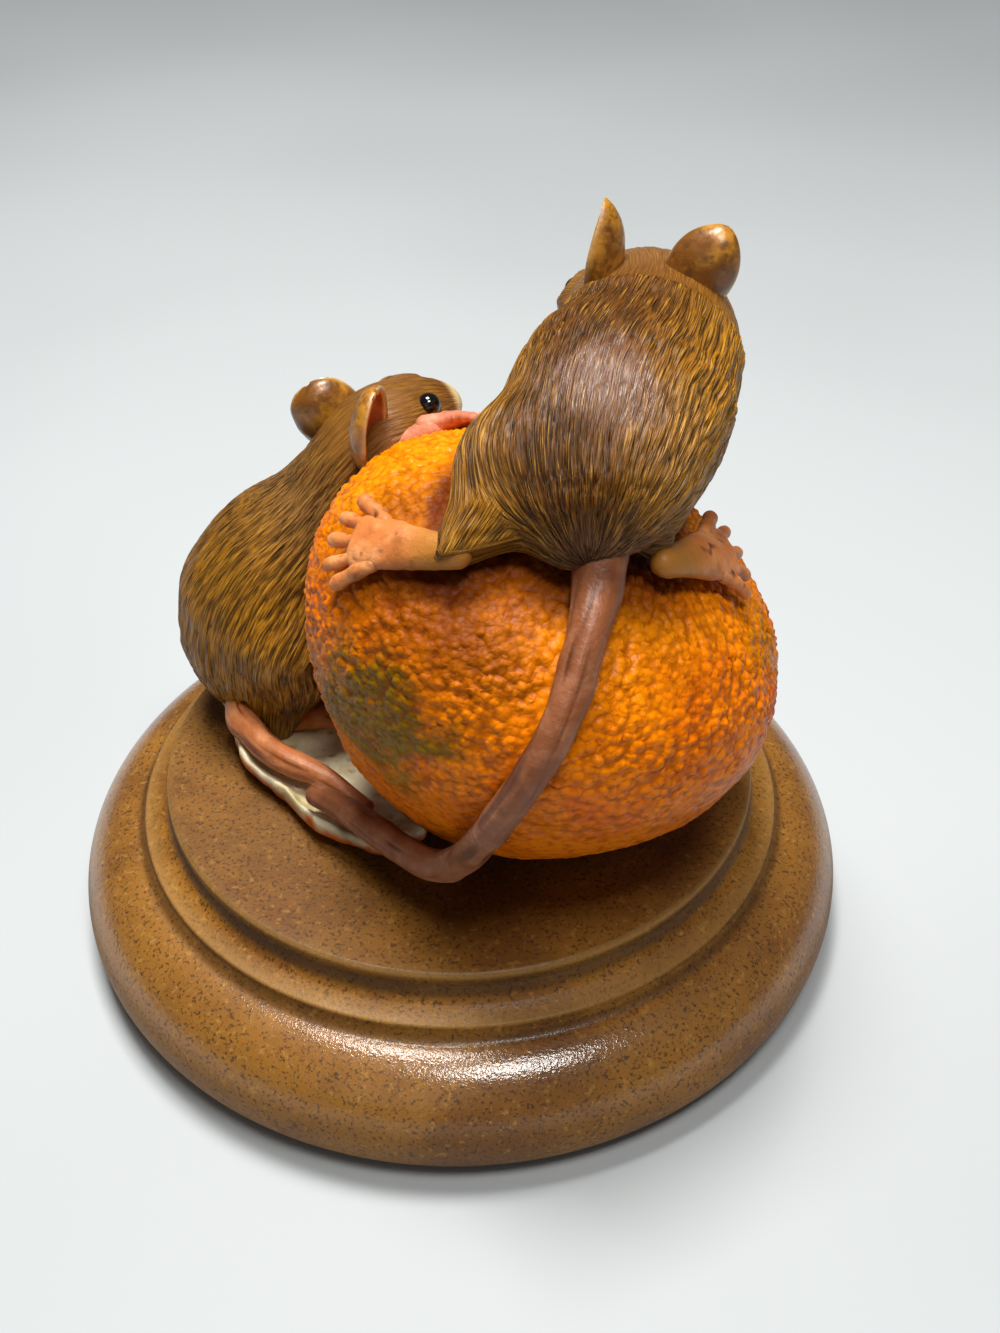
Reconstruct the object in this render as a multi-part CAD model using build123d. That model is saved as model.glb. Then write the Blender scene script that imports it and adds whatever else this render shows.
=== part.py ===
from build123d import *

import math
import os

# Sizes are in millimetres and angles in degrees. The origin is the middle of the felt's underside,
# +Z is up, and the mice show their backs to the -Y side.

# Felt and turned plinth, with heights taken from the plinth's underside
felt_thickness = 0.8
felt_inset = 0.5
plinth_diameter = 112.0
plinth_foot_diameter = 106.4
plinth_height = 23.8
roll_mid_height = 6.2
roll_top_height = 16.2
lower_cove_radius = 1.6
ledge_diameter = 92.2
ledge_height = 18.6
ledge_rise = 0.6
ledge_edge_round = 0.4
upper_cove_diameter = 86.8
top_diameter = 84.6
top_edge_round = 0.7
top_band = 1.6
bead_step = 0.4

# Orange, an egg-shaped spheroid that leans towards +X
orange_radius = 30.3
orange_half_height = 26.6
orange_shoulder_share = 0.275
orange_lean = 22.9
orange_x = 8.8
orange_y = -12.1
orange_seat_sink = 0.4
orange_profile_points = 17

# Fixing screws, their washers and the steel dowel of the upper mouse
screw_diameter = 4.0
screw_point_diameter = 1.0
screw_length = 30.0
screw_tip_length = 3.0
screw_head_diameter = 8.0
screw_head_height = 2.6
screw_slot_width = 1.2
screw_slot_depth = 1.3
washer_diameter = 9.4
washer_thickness = 1.0
counterbore_diameter = 11.0
counterbore_depth = 7.0
dowel_diameter = 3.0
dowel_length = 18.0
bore_clearance = 0.1
cut_overrun = 1.0

# Torn peel, a shallow dish of rind with an uneven outline
peel_half_width = 10.5
peel_half_length = 24.0
peel_turn = 32.0
peel_dish = 6.2
peel_thickness = 2.0
peel_offset_x = 7.0
peel_offset_y = -16.0
peel_spread_share = 1.22
peel_outline_shares = [
    (1.00, 5), (0.93, 30), (1.02, 58), (0.95, 90), (1.00, 122), (0.90, 150), (0.97, 172),
    (0.84, 196), (0.97, 216), (0.90, 236), (0.99, 254), (0.94, 272), (1.04, 292), (0.92, 318), (1.00, 342),
]

# Upper mouse: seat bearing seen from the orange's middle, heading from +X, and body sizes
upper_seat_azimuth = 11.0
upper_seat_elevation = 69.0
upper_heading = 77.0
upper_width = 26.0
upper_depth = 22.6
upper_reach = 50.0
upper_rise = 13.8
# right, forward, up, half width, half depth, from the rump to the nose
upper_spine_shares = [
    (0.070, -0.369, 0.203, 0.160, 0.155), (0.065, -0.339, 0.312, 0.308, 0.288),
    (0.050, -0.269, 0.493, 0.442, 0.412), (0.034, -0.127, 0.710, 0.500, 0.487),
    (0.065, 0.027, 0.855, 0.510, 0.500), (0.120, 0.152, 0.964, 0.455, 0.450),
    (0.140, 0.276, 1.000, 0.388, 0.384), (0.095, 0.385, 0.949, 0.355, 0.381),
    (-0.010, 0.477, 0.783, 0.330, 0.363), (-0.150, 0.555, 0.551, 0.265, 0.288),
    (-0.265, 0.615, 0.333, 0.178, 0.195), (-0.340, 0.654, 0.181, 0.086, 0.093),
]
upper_haunch_radius = 7.8
upper_haunch_shares = {"left": (-0.308, -0.220, 0.590), "right": (0.225, -0.050, 0.600)}

# Lower mouse: distance and bearing of its seat from the orange's axis, heading and body sizes
lower_seat_distance = 43.8
lower_seat_azimuth = 145.0
lower_heading = 0.0
lower_width = 28.0
lower_depth = 26.6
lower_reach = 30.0
lower_rise = 47.0
lower_spine_shares = [
    (0.000, -0.050, 0.072, 0.193, 0.188), (0.000, -0.040, 0.119, 0.357, 0.357),
    (0.000, -0.020, 0.221, 0.464, 0.462), (0.000, 0.013, 0.391, 0.500, 0.500),
    (0.000, 0.117, 0.545, 0.454, 0.429), (0.000, 0.277, 0.685, 0.364, 0.316),
    (-0.014, 0.397, 0.787, 0.314, 0.271), (-0.057, 0.510, 0.864, 0.307, 0.278),
    (-0.136, 0.625, 0.921, 0.286, 0.267), (-0.218, 0.762, 0.951, 0.214, 0.203),
    (-0.279, 0.866, 0.962, 0.132, 0.130), (-0.314, 0.922, 0.960, 0.061, 0.060),
]
lower_haunch_radius = 8.5
lower_haunch_shares = {"left": (-0.300, 0.140, 0.360), "right": (0.300, 0.140, 0.360)}

# Bead eyes, set beside the ninth spine station
eye_radius = 1.7
eye_station = 9
eye_height_angle = 38.0
eye_set_share = 0.90

# Cupped ears: root in body shares, the direction of the length and of the open side, and size shares
ear_length = 13.0
ear_width = 10.0
ear_cup = 3.4
ear_wall = 1.1
upper_ear_shares = {
    "left": ((-0.185, 0.345, 1.105), (0.10, 0.00, 1.00), (-0.92, 0.39, 0.00), (1.15, 0.86)),
    "right": ((0.235, 0.310, 1.240), (0.46, -0.12, 0.88), (0.40, 0.85, -0.20), (0.94, 0.85)),
}
lower_ear_shares = {
    "left": ((-0.330, 0.410, 0.845), (-0.46, -0.14, 0.87), (0.40, 0.85, 0.10), (0.88, 0.96)),
    "right": ((0.190, 0.570, 0.935), (0.05, -0.10, 1.00), (0.95, -0.30, 0.00), (0.94, 0.92)),
}

# Hind feet and forepaws: a flat palm that widens to a fan of digits
upper_foot_length = 16.5
lower_foot_length = 13.0
foot_width = 7.0
foot_thickness = 3.4
foot_digits = 5
foot_fan = 60.0
leg_radius = 5.0
ankle_radius = 2.3
paw_length = 9.0
paw_width = 5.2
paw_thickness = 2.8
paw_digits = 4
paw_fan = 44.0
arm_radius = 3.2
wrist_radius = 1.7
palm_shares = [(0.00, 0.26, 0.50), (0.22, 0.34, 0.52), (0.45, 0.44, 0.46), (0.66, 0.50, 0.38)]
palm_lift_share = 0.46
digit_start_share = 0.52
digit_root_share = 0.13
digit_tip_share = 0.11
# heel and toes right and forward of the seat in body shares, and their lift in foot thicknesses
upper_feet_shares = {
    "left": ((-0.500, -0.430, 0.55), (-1.090, -0.340, 0.55)),
    "right": ((0.300, -0.260, 0.55), (0.640, 0.018, 0.65)),
}
lower_feet_shares = {
    "left": ((-0.350, 0.050, 0.10), (-0.380, 0.450, 0.10)),
    "right": ((0.380, 0.020, 0.10), (0.180, 0.420, 0.10)),
}
# shoulder in body shares with its height, then wrist and fingertips over the orange
upper_paws_shares = {
    "left": ((-0.200, 0.180, 0.620), (-0.420, 0.330), (-0.520, 0.480)),
    "right": ((0.280, 0.150, 0.600), (0.260, 0.250), (0.230, 0.390)),
}
lower_paws_shares = {
    "left": ((-0.200, 0.420, 0.720), (-0.120, 0.780), (-0.060, 1.010)),
    "right": ((0.150, 0.420, 0.720), (0.130, 0.800), (0.200, 1.090)),
}

# Tails: a route of places, a radius along it, and a round spigot in the rump
tail_stations = 18
tail_spigot_radius = 1.4
tail_spigot_length = 3.5
upper_tail_radius = 3.0
# azimuth and elevation about the orange's middle, and the lift off its skin in tail radii
upper_tail_route_shares = [
    (-58.5, 63.5, 1.95), (-70.7, 50.9, 0.80), (-78.2, 41.5, 0.70), (-83.1, 32.7, 0.65),
    (-88.0, 24.1, 0.65), (-92.7, 16.2, 0.65), (-98.1, 5.2, 0.66), (-103.5, -6.5, 0.68), (-109.2, -19.7, 0.74),
    (-116.5, -28.0, 1.05), (-127.1, -32.4, 1.12), (-141.2, -35.0, 1.14), (-156.9, -34.8, 1.58),
    (-171.0, -33.0, 2.75),
]
upper_tail_radius_shares = [
    1.05, 0.95, 0.84, 0.79, 0.76, 0.74, 0.71, 0.68, 0.67, 0.67, 0.67, 0.66, 0.65, 0.56,
]
lower_tail_radius = 2.1
# right, forward and up from the lower mouse's seat, in body shares
lower_tail_route_shares = [
    (0.270, -0.140, 0.172), (0.440, -0.145, 0.147), (0.560, -0.075, 0.141), (0.680, 0.003, 0.141),
    (0.793, 0.127, 0.139), (0.868, 0.247, 0.132), (0.932, 0.333, 0.121), (1.050, 0.470, 0.098),
]
lower_tail_radius_shares = [1.00, 0.98, 0.95, 0.92, 0.88, 0.80, 0.72, 0.55]

plate_z = felt_thickness + plinth_height


def egg_point(latitude):
    # distance from the orange's axis and height along it
    angle = math.radians(latitude)
    swell = 1 + orange_shoulder_share * math.sin(angle)
    return orange_radius * math.cos(angle) * swell, orange_half_height * math.sin(angle)


def lowest_latitude():
    # the latitude whose ring reaches lowest once the orange leans over
    lean = math.radians(orange_lean)

    def drop(latitude):
        out, along = egg_point(latitude)
        return out * math.sin(lean) - along * math.cos(lean)

    return max((-0.25 * step for step in range(360)), key=drop)


def orange_frame():
    # frame at the orange's middle, its Z along the leaning axis
    lean = math.radians(orange_lean)
    out, along = egg_point(lowest_latitude())
    drop = out * math.sin(lean) - along * math.cos(lean)
    middle = Vector(orange_x, orange_y, plate_z + drop - orange_seat_sink)
    axis = Vector(math.sin(lean), 0, math.cos(lean))
    return Plane(origin=middle, x_dir=Vector(math.cos(lean), 0, -math.sin(lean)), z_dir=axis)


orange_plane = orange_frame()


def skin_reach(direction):
    # distance from the orange's middle to its skin, found by halving the latitude range
    wanted = math.acos(max(-1, min(1, direction.dot(orange_plane.z_dir))))
    low, high = -90.0, 90.0
    for _ in range(50):
        latitude = (low + high) / 2
        out, along = egg_point(latitude)
        if math.atan2(out, along) > wanted:
            low = latitude
        else:
            high = latitude
    return math.hypot(*egg_point(latitude))


def on_bearing(azimuth, elevation, lift):
    # a place above the skin, seen from the orange's middle
    flat = math.cos(math.radians(elevation))
    direction = Vector(
        flat * math.cos(math.radians(azimuth)),
        flat * math.sin(math.radians(azimuth)),
        math.sin(math.radians(elevation)),
    )
    return orange_plane.origin + direction * (skin_reach(direction) + lift)


def over_orange(x, y):
    # the highest place of the skin straight above or below x, y, or the nearest place if there is none
    low, high = orange_plane.origin.Z, orange_plane.origin.Z + orange_radius + orange_half_height
    for _ in range(50):
        middle = (low + high) / 2
        out = Vector(x, y, middle) - orange_plane.origin
        if out.length < skin_reach(out.normalized()):
            low = middle
        else:
            high = middle
    return Vector(x, y, middle)


def mouse_frame(seat, heading):
    # local X to the mouse's right, Y forward, Z up
    turn = math.radians(heading)
    return Plane(origin=seat, x_dir=Vector(math.sin(turn), -math.cos(turn), 0), z_dir=(0, 0, 1))


upper_plane = mouse_frame(on_bearing(upper_seat_azimuth, upper_seat_elevation, 0), upper_heading)
lower_turn = math.radians(lower_seat_azimuth)
lower_seat = Vector(
    orange_x + lower_seat_distance * math.cos(lower_turn),
    orange_y + lower_seat_distance * math.sin(lower_turn),
    plate_z,
)
lower_plane = mouse_frame(lower_seat, lower_heading)
peel_middle = Vector(lower_seat.X + peel_offset_x, lower_seat.Y + peel_offset_y, plate_z + peel_dish)
peel_plane = Plane(
    origin=peel_middle,
    x_dir=Vector(math.cos(math.radians(peel_turn)), math.sin(math.radians(peel_turn)), 0),
    z_dir=(0, 0, 1),
)
upper_sizes = (upper_width, upper_reach, upper_rise)
lower_sizes = (lower_width, lower_reach, lower_rise)


def place(frame, sizes, shares):
    # a point given as shares of a mouse's width, reach and rise
    return frame.from_local_coords(Vector(*(size * share for size, share in zip(sizes, shares))))


def section_plane(points, index, left):
    # plane square to the spine at one of its points, local X to the left and Y to the back
    after = points[min(index + 1, len(points) - 1)]
    before = points[max(index - 1, 0)]
    along = (after - before).normalized()
    return Plane(origin=points[index], x_dir=left - along * left.dot(along), z_dir=along)


def tapered(points, half_widths, half_depths, left):
    # smooth solid through ellipses along a spine
    sections = []
    for index, (half_width, half_depth) in enumerate(zip(half_widths, half_depths)):
        sections.append(section_plane(points, index, left) * Ellipse(half_width, half_depth))
    return loft(sections)


def ellipsoid(radii):
    return scale(Sphere(1), by=radii)


def cut(shape, *tools):
    # take the tools away one after the other
    for tool in tools:
        shape = shape - tool
    return shape


def main_piece(shape):
    # the largest solid, without the chips that a cut leaves
    return max(shape.solids(), key=lambda solid: solid.volume)


def bore(start, direction, diameter, depth):
    # round hole or pin from a start point along a direction
    along = Plane(origin=start, z_dir=direction)
    return along * Cylinder(diameter / 2, depth, align=(Align.CENTER, Align.CENTER, Align.MIN))


def plinth_blank():
    # turned profile from the underside out, over the roll, ledge and band, to the flat top
    foot = (plinth_foot_diameter / 2, 0)
    widest = (plinth_diameter / 2, roll_mid_height)
    ledge_radius = ledge_diameter / 2
    roll_top = (ledge_radius + lower_cove_radius, roll_top_height)
    cove_top = (ledge_radius, roll_top_height + lower_cove_radius)
    ledge_side = (ledge_radius, ledge_height - ledge_edge_round)
    ledge_edge = (ledge_radius - ledge_edge_round, ledge_height)
    ledge_back = (upper_cove_diameter / 2, ledge_height + ledge_rise)
    top_radius = top_diameter / 2
    cove_start = (top_radius - bead_step, plinth_height - top_band)
    band_foot = (top_radius, plinth_height - top_band)
    band_top = (top_radius, plinth_height - top_edge_round)
    top_edge = (top_radius - top_edge_round, plinth_height)
    outline = [
        Line((0, 0), foot),
        TangentArc(widest, foot, tangent=(0, -1)),
        TangentArc(widest, roll_top, tangent=(0, 1)),
        TangentArc(cove_top, roll_top, tangent=(0, -1)),
        Line(cove_top, ledge_side),
        TangentArc(ledge_side, ledge_edge, tangent=(0, 1)),
        Line(ledge_edge, ledge_back),
        TangentArc(cove_start, ledge_back, tangent=(0, -1)),
        Line(cove_start, band_foot),
        Line(band_foot, band_top),
        TangentArc(band_top, top_edge, tangent=(0, 1)),
        Line(top_edge, (0, plinth_height)),
        Line((0, plinth_height), (0, 0)),
    ]
    return Pos(0, 0, felt_thickness) * revolve(Plane.XZ * make_face(outline), Axis.Z)


def felt():
    radius = plinth_foot_diameter / 2 - felt_inset
    return Cylinder(radius, felt_thickness, align=(Align.CENTER, Align.CENTER, Align.MIN))


def orange_blank():
    # egg profile turned about its axis, leaned over and flattened where it stands on the plinth
    step = 180 / (orange_profile_points - 1)
    points = [egg_point(-90 + step * index) for index in range(orange_profile_points)]
    skin = Spline(*points, tangents=((1, 0), (-1, 0)))
    profile = make_face([skin, Line(points[-1], points[0])])
    whole = orange_plane * revolve(Plane.XZ * profile, Axis.Z)
    return split(whole, bisect_by=Plane.XY.offset(plate_z), keep=Keep.TOP)


def seat_under_orange():
    # middle of the orange's flat seat
    lean = math.radians(orange_lean)
    out, along = egg_point(lowest_latitude())
    return Vector(orange_x + along * math.sin(lean) + out * math.cos(lean), orange_y, plate_z)


def peel_blank():
    # rind between two like dishes, cut to the torn outline
    half_width = peel_half_width * peel_spread_share
    half_length = peel_half_length * peel_spread_share
    dish = ellipsoid((half_width, half_length, peel_dish))
    rind = dish - Pos(0, 0, peel_thickness) * dish
    corners = []
    for reach_share, angle in peel_outline_shares:
        turn = math.radians(angle)
        corners.append(
            (reach_share * peel_half_width * math.cos(turn), reach_share * peel_half_length * math.sin(turn))
        )
    outline = make_face(Spline(*corners, periodic=True))
    return peel_plane * (rind & (Pos(0, 0, -peel_dish) * extrude(outline, peel_dish)))


def screw_head_z():
    return felt_thickness + counterbore_depth - washer_thickness


def screw_at(place_on_plate):
    # slotted pan head, shank drawn at the thread's outer diameter, and a point
    low_end = (Align.CENTER, Align.CENTER, Align.MIN)
    shank = Cylinder(screw_diameter / 2, screw_length - screw_tip_length, align=low_end)
    point = Cone(screw_diameter / 2, screw_point_diameter / 2, screw_tip_length, align=low_end)
    shank += Pos(0, 0, screw_length - screw_tip_length) * point
    head = Cylinder(
        screw_head_diameter / 2, screw_head_height, align=(Align.CENTER, Align.CENTER, Align.MAX)
    )
    slot = Pos(0, 0, -screw_head_height) * Box(
        screw_head_diameter, screw_slot_width, screw_slot_depth * 2
    )
    return Pos(place_on_plate.X, place_on_plate.Y, screw_head_z()) * (shank + head - slot)


def washer_at(place_on_plate):
    ring = Cylinder(washer_diameter / 2, washer_thickness, align=(Align.CENTER, Align.CENTER, Align.MIN))
    hole = Cylinder(screw_diameter / 2 + bore_clearance, washer_thickness * 3)
    return Pos(place_on_plate.X, place_on_plate.Y, screw_head_z()) * (ring - hole)


def screw_hole(place_on_plate):
    # straight hole that clears the whole shank
    start = Vector(place_on_plate.X, place_on_plate.Y, screw_head_z())
    return bore(start, (0, 0, 1), screw_diameter + bore_clearance * 2, screw_length + bore_clearance)


def counterbore(place_on_plate):
    start = Vector(place_on_plate.X, place_on_plate.Y, felt_thickness - cut_overrun)
    return bore(start, (0, 0, 1), counterbore_diameter, counterbore_depth + cut_overrun)


def spine(frame, sizes, width, depth, shares):
    # spine points with the half width and half depth at each
    points = [place(frame, sizes, row[:3]) for row in shares]
    return points, [width * row[3] for row in shares], [depth * row[4] for row in shares]


def mouse_body(frame, sizes, body_spine, haunch_radius, haunches, soles):
    # rump, back, neck and head as one smooth form, with a round haunch and a leg on each side
    body = tapered(*body_spine, -frame.x_dir)
    radii = [leg_radius, (leg_radius + ankle_radius) / 2, ankle_radius]
    for side, shares in haunches.items():
        haunch = place(frame, sizes, shares)
        ankle = soles[side][0] + Vector(0, 0, foot_thickness * palm_lift_share)
        body += Pos(*haunch) * Sphere(haunch_radius)
        body += tapered([haunch, (haunch + ankle) / 2, ankle], radii, radii, -frame.x_dir)
    return body


def eye_at(frame, body_spine, side):
    # bead half sunk in the side of the head
    points, half_widths, half_depths = body_spine
    across = section_plane(points, eye_station, -frame.x_dir)
    turn = math.radians(eye_height_angle)
    out = half_widths[eye_station] * math.cos(turn) * eye_set_share
    up = half_depths[eye_station] * math.sin(turn) * eye_set_share
    middle = across.from_local_coords(Vector(out if side == "left" else -out, up, 0))
    return Plane(origin=middle, x_dir=across.x_dir, z_dir=across.z_dir) * Sphere(eye_radius)


def ear_at(frame, sizes, ear):
    # half of a hollow egg, its narrow end in the head
    root, along, opening, (length_share, width_share) = ear
    half_length, half_width = ear_length * length_share / 2, ear_width * width_share / 2
    along = Vector(*along).normalized()
    opening = Vector(*opening)
    opening = (opening - along * opening.dot(along)).normalized()
    outer = ellipsoid((half_length, half_width, ear_cup))
    inner = ellipsoid((half_length - ear_wall, half_width - ear_wall, ear_cup - ear_wall))
    cup = split(outer - inner, bisect_by=Plane.XY, keep=Keep.BOTTOM)
    middle = place(frame, sizes, root) + along * (half_length - ear_wall)
    return Plane(origin=middle, x_dir=along, z_dir=opening) * cup


def hand(heel, toes, normal, sizes, digit_count, fan):
    # palm from the heel forwards, then a fan of digits
    length, width, thickness = sizes
    frame = Plane(origin=heel, x_dir=toes - heel, z_dir=normal)
    lift = thickness * palm_lift_share
    points = [frame.from_local_coords(Vector(length * row[0], 0, lift)) for row in palm_shares]
    half_widths = [width * row[1] for row in palm_shares]
    half_depths = [thickness * row[2] for row in palm_shares]
    palm = tapered(points, half_widths, half_depths, frame.y_dir)
    digits = []
    for index in range(digit_count):
        side = index / (digit_count - 1) - 0.5
        turn = math.radians(fan * side)
        start = Vector(length * digit_start_share, width * side * (1 - 2 * digit_root_share), lift)
        run = length * (1 - digit_start_share) * (1 - side * side)
        end = start + Vector(run * math.cos(turn), run * math.sin(turn), -lift / 2)
        digits.append(digit(frame, start, end, width))
    for finger in digits:
        palm += finger
    return palm


def digit(frame, start, end, palm_width):
    # tapered finger with a round tip
    root, tip = frame.from_local_coords(start), frame.from_local_coords(end)
    stem = Cone(
        palm_width * digit_root_share,
        palm_width * digit_tip_share,
        (tip - root).length,
        align=(Align.CENTER, Align.CENTER, Align.MIN),
    )
    return Plane(origin=root, z_dir=tip - root) * stem + Pos(*tip) * Sphere(palm_width * digit_tip_share)


def skin_normal(point):
    return (point - orange_plane.origin).normalized()


def on_orange(frame, sizes, shares):
    flat = place(frame, sizes, (*shares, 0))
    return over_orange(flat.X, flat.Y)


def upper_sole(side):
    # heel and toes of a foot that stands on the orange
    return [
        on_orange(upper_plane, upper_sizes, shares[:2]) + Vector(0, 0, foot_thickness * shares[2])
        for shares in upper_feet_shares[side]
    ]


def on_peel(frame, sizes, shares):
    # a place on the pith, the upper face of the dish, or on the plinth beside it
    flat = place(frame, sizes, (*shares, 0))
    local = peel_plane.to_local_coords(flat)
    across = local.X / (peel_half_width * peel_spread_share)
    along = local.Y / (peel_half_length * peel_spread_share)
    inside = 1 - across * across - along * along
    if inside < 1 - 1 / peel_spread_share**2:
        return flat
    return Vector(flat.X, flat.Y, peel_plane.origin.Z + peel_thickness - peel_dish * math.sqrt(inside))


def lower_sole(side):
    # heel and toes of a foot that stands on the peel or the plinth
    return [
        on_peel(lower_plane, lower_sizes, shares[:2]) + Vector(0, 0, foot_thickness * shares[2])
        for shares in lower_feet_shares[side]
    ]


def hind_foot(sole, normal, length):
    return hand(*sole, normal, (length, foot_width, foot_thickness), foot_digits, foot_fan)


def forepaw(frame, sizes, shares):
    # arm from the shoulder to the wrist, and a hand laid on the orange
    shoulder = place(frame, sizes, shares[0])
    wrist, tips = (on_orange(frame, sizes, row) for row in shares[1:])
    palm = hand(
        wrist, tips, skin_normal(wrist), (paw_length, paw_width, paw_thickness), paw_digits, paw_fan
    )
    elbow = (shoulder + wrist) / 2 + skin_normal(wrist) * wrist_radius
    end = wrist + (tips - wrist).normalized() * wrist_radius + skin_normal(wrist) * wrist_radius / 2
    radii = [arm_radius, (arm_radius + wrist_radius) / 2, wrist_radius]
    return tapered([shoulder, elbow, end], radii, radii, frame.x_dir) + palm


def tail_tube(points, radii):
    # round tapering rod along a smooth route
    route = Spline(*points)
    last = len(points) - 1
    stations, sizes = [], []
    for index in range(tail_stations):
        share = index / (tail_stations - 1)
        stations.append(route.position_at(share))
        low = min(int(share * last), last - 1)
        sizes.append(radii[low] + (radii[low + 1] - radii[low]) * (share * last - low))
    sections = []
    across = Vector(1, 0, 0)
    for index, size in enumerate(sizes):
        along = route.tangent_at(index / (tail_stations - 1))
        across = (across - along * across.dot(along)).normalized()
        sections.append(Plane(origin=stations[index], x_dir=across, z_dir=along) * Circle(size))
    return loft(sections)


def upper_tail_points():
    return [on_bearing(azimuth, elevation, upper_tail_radius * lift)
            for azimuth, elevation, lift in upper_tail_route_shares]


def lower_tail_points():
    return [place(lower_plane, lower_sizes, shares) for shares in lower_tail_route_shares]


def spigot(points, clearance):
    # short pin that carries the tail in the rump
    along = points[0] - points[1]
    size = (tail_spigot_radius + clearance) * 2
    return bore(points[1], along, size, along.length + tail_spigot_length + clearance)


def build_parts():
    parts = {}
    orange = orange_blank()
    plinth = plinth_blank()
    peel = peel_blank() - orange
    seats = [seat_under_orange(), lower_seat]
    holes = [screw_hole(seat) for seat in seats]

    upper_spine = spine(upper_plane, upper_sizes, upper_width, upper_depth, upper_spine_shares)
    lower_spine = spine(lower_plane, lower_sizes, lower_width, lower_depth, lower_spine_shares)
    sides = ("left", "right")
    upper_soles = {side: upper_sole(side) for side in sides}
    lower_soles = {side: lower_sole(side) for side in sides}
    upper_body = mouse_body(
        upper_plane, upper_sizes, upper_spine, upper_haunch_radius, upper_haunch_shares, upper_soles
    )
    upper_body = main_piece(cut(upper_body, orange))
    lower_body = mouse_body(
        lower_plane, lower_sizes, lower_spine, lower_haunch_radius, lower_haunch_shares, lower_soles
    )
    lower_body = main_piece(cut(lower_body, orange, peel))
    upper_feet = {}
    for side, (heel, toes) in upper_soles.items():
        upper_feet[side] = hind_foot((heel, toes), skin_normal((heel + toes) / 2), upper_foot_length)
    lower_feet = {side: hind_foot(lower_soles[side], Vector(0, 0, 1), lower_foot_length) for side in sides}

    upper_route, lower_route = upper_tail_points(), lower_tail_points()
    upper_tail = tail_tube(upper_route, [upper_tail_radius * share for share in upper_tail_radius_shares])
    upper_tail = cut(upper_tail, upper_body, orange, peel) + spigot(upper_route, 0)
    lower_tail = tail_tube(lower_route, [lower_tail_radius * share for share in lower_tail_radius_shares])
    lower_tail = cut(lower_tail, lower_body, peel) + spigot(lower_route, 0)

    axis = orange_plane.z_dir
    dowel_start = orange_plane.origin + axis * (orange_half_height - dowel_length / 2)
    dowel_hole = bore(dowel_start, axis, dowel_diameter + bore_clearance * 2, dowel_length + bore_clearance)

    upper = (upper_plane, upper_sizes, upper_body, upper_spine, upper_feet, upper_ear_shares, upper_paws_shares)
    lower = (lower_plane, lower_sizes, lower_body, lower_spine, lower_feet, lower_ear_shares, lower_paws_shares)
    for name, (frame, sizes, body, body_spine, feet, ears, paws) in (("upper", upper), ("lower", lower)):
        for side in sides:
            parts[f"{name}_mouse_{side}_eye"] = eye_at(frame, body_spine, side)
            parts[f"{name}_mouse_{side}_ear"] = cut(ear_at(frame, sizes, ears[side]), body, orange)
            parts[f"{name}_mouse_{side}_hind_foot"] = main_piece(cut(feet[side], orange, peel, plinth, body))
            paw = forepaw(frame, sizes, paws[side])
            parts[f"{name}_mouse_{side}_forepaw"] = main_piece(cut(paw, orange, body))

    upper_eyes = [parts[f"upper_mouse_{side}_eye"] for side in sides]
    lower_eyes = [parts[f"lower_mouse_{side}_eye"] for side in sides]
    parts["upper_mouse_body"] = cut(upper_body, *upper_eyes, dowel_hole, spigot(upper_route, bore_clearance))
    parts["lower_mouse_body"] = cut(lower_body, *lower_eyes, holes[1], spigot(lower_route, bore_clearance))
    parts["upper_mouse_tail"] = upper_tail
    parts["lower_mouse_tail"] = lower_tail
    parts["upper_mouse_dowel"] = bore(dowel_start, axis, dowel_diameter, dowel_length)
    parts["orange"] = cut(orange, holes[0], dowel_hole)
    parts["peel"] = cut(peel, holes[1])
    parts["plinth"] = cut(plinth, *holes, *(counterbore(seat) for seat in seats))
    parts["felt_pad"] = felt()
    parts["fixing_screws"] = Compound([screw_at(seat).solid() for seat in seats])
    parts["screw_washers"] = Compound([washer_at(seat).solid() for seat in seats])
    return parts


os.makedirs("parts", exist_ok=True)
for node, shape in build_parts().items():
    export_step(shape, f"parts/{node}.step")
    print(node, round(shape.volume, 1))
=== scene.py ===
import bpy
import numpy as np
from mathutils import Matrix, Vector


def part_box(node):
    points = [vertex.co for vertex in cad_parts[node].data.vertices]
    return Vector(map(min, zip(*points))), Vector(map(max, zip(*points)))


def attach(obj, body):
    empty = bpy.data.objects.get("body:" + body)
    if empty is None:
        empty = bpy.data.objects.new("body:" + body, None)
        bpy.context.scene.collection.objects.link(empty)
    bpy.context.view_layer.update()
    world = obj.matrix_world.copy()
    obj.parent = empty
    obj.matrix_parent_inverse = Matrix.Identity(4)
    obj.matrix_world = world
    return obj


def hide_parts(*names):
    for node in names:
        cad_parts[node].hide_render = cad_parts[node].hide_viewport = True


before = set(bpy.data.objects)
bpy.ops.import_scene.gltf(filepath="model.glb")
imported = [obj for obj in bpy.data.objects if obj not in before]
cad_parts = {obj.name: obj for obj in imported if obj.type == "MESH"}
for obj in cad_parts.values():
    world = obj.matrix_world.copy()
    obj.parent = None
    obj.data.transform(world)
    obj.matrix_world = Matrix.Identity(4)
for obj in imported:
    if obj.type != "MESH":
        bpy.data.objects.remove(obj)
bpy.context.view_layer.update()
scene = bpy.context.scene
millimetre = 0.001  # the tables below are in millimetres, the meshes in metres


# numbers that repeat from run to run

def latticeValue(i, j, k, seed):
    # whole-number mix of a lattice corner, turned into a number from 0 to 1
    mixed = (i * 374761393 + j * 668265263 + k * 1442695041 + seed * 97531) & 0xFFFFFFFF
    mixed = ((mixed ^ (mixed >> 13)) * 1274126177) & 0xFFFFFFFF
    mixed = ((mixed ^ (mixed >> 15)) * 2246822519) & 0xFFFFFFFF
    return ((mixed ^ (mixed >> 16)) & 0xFFFFFF) / 16777216.0


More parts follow.
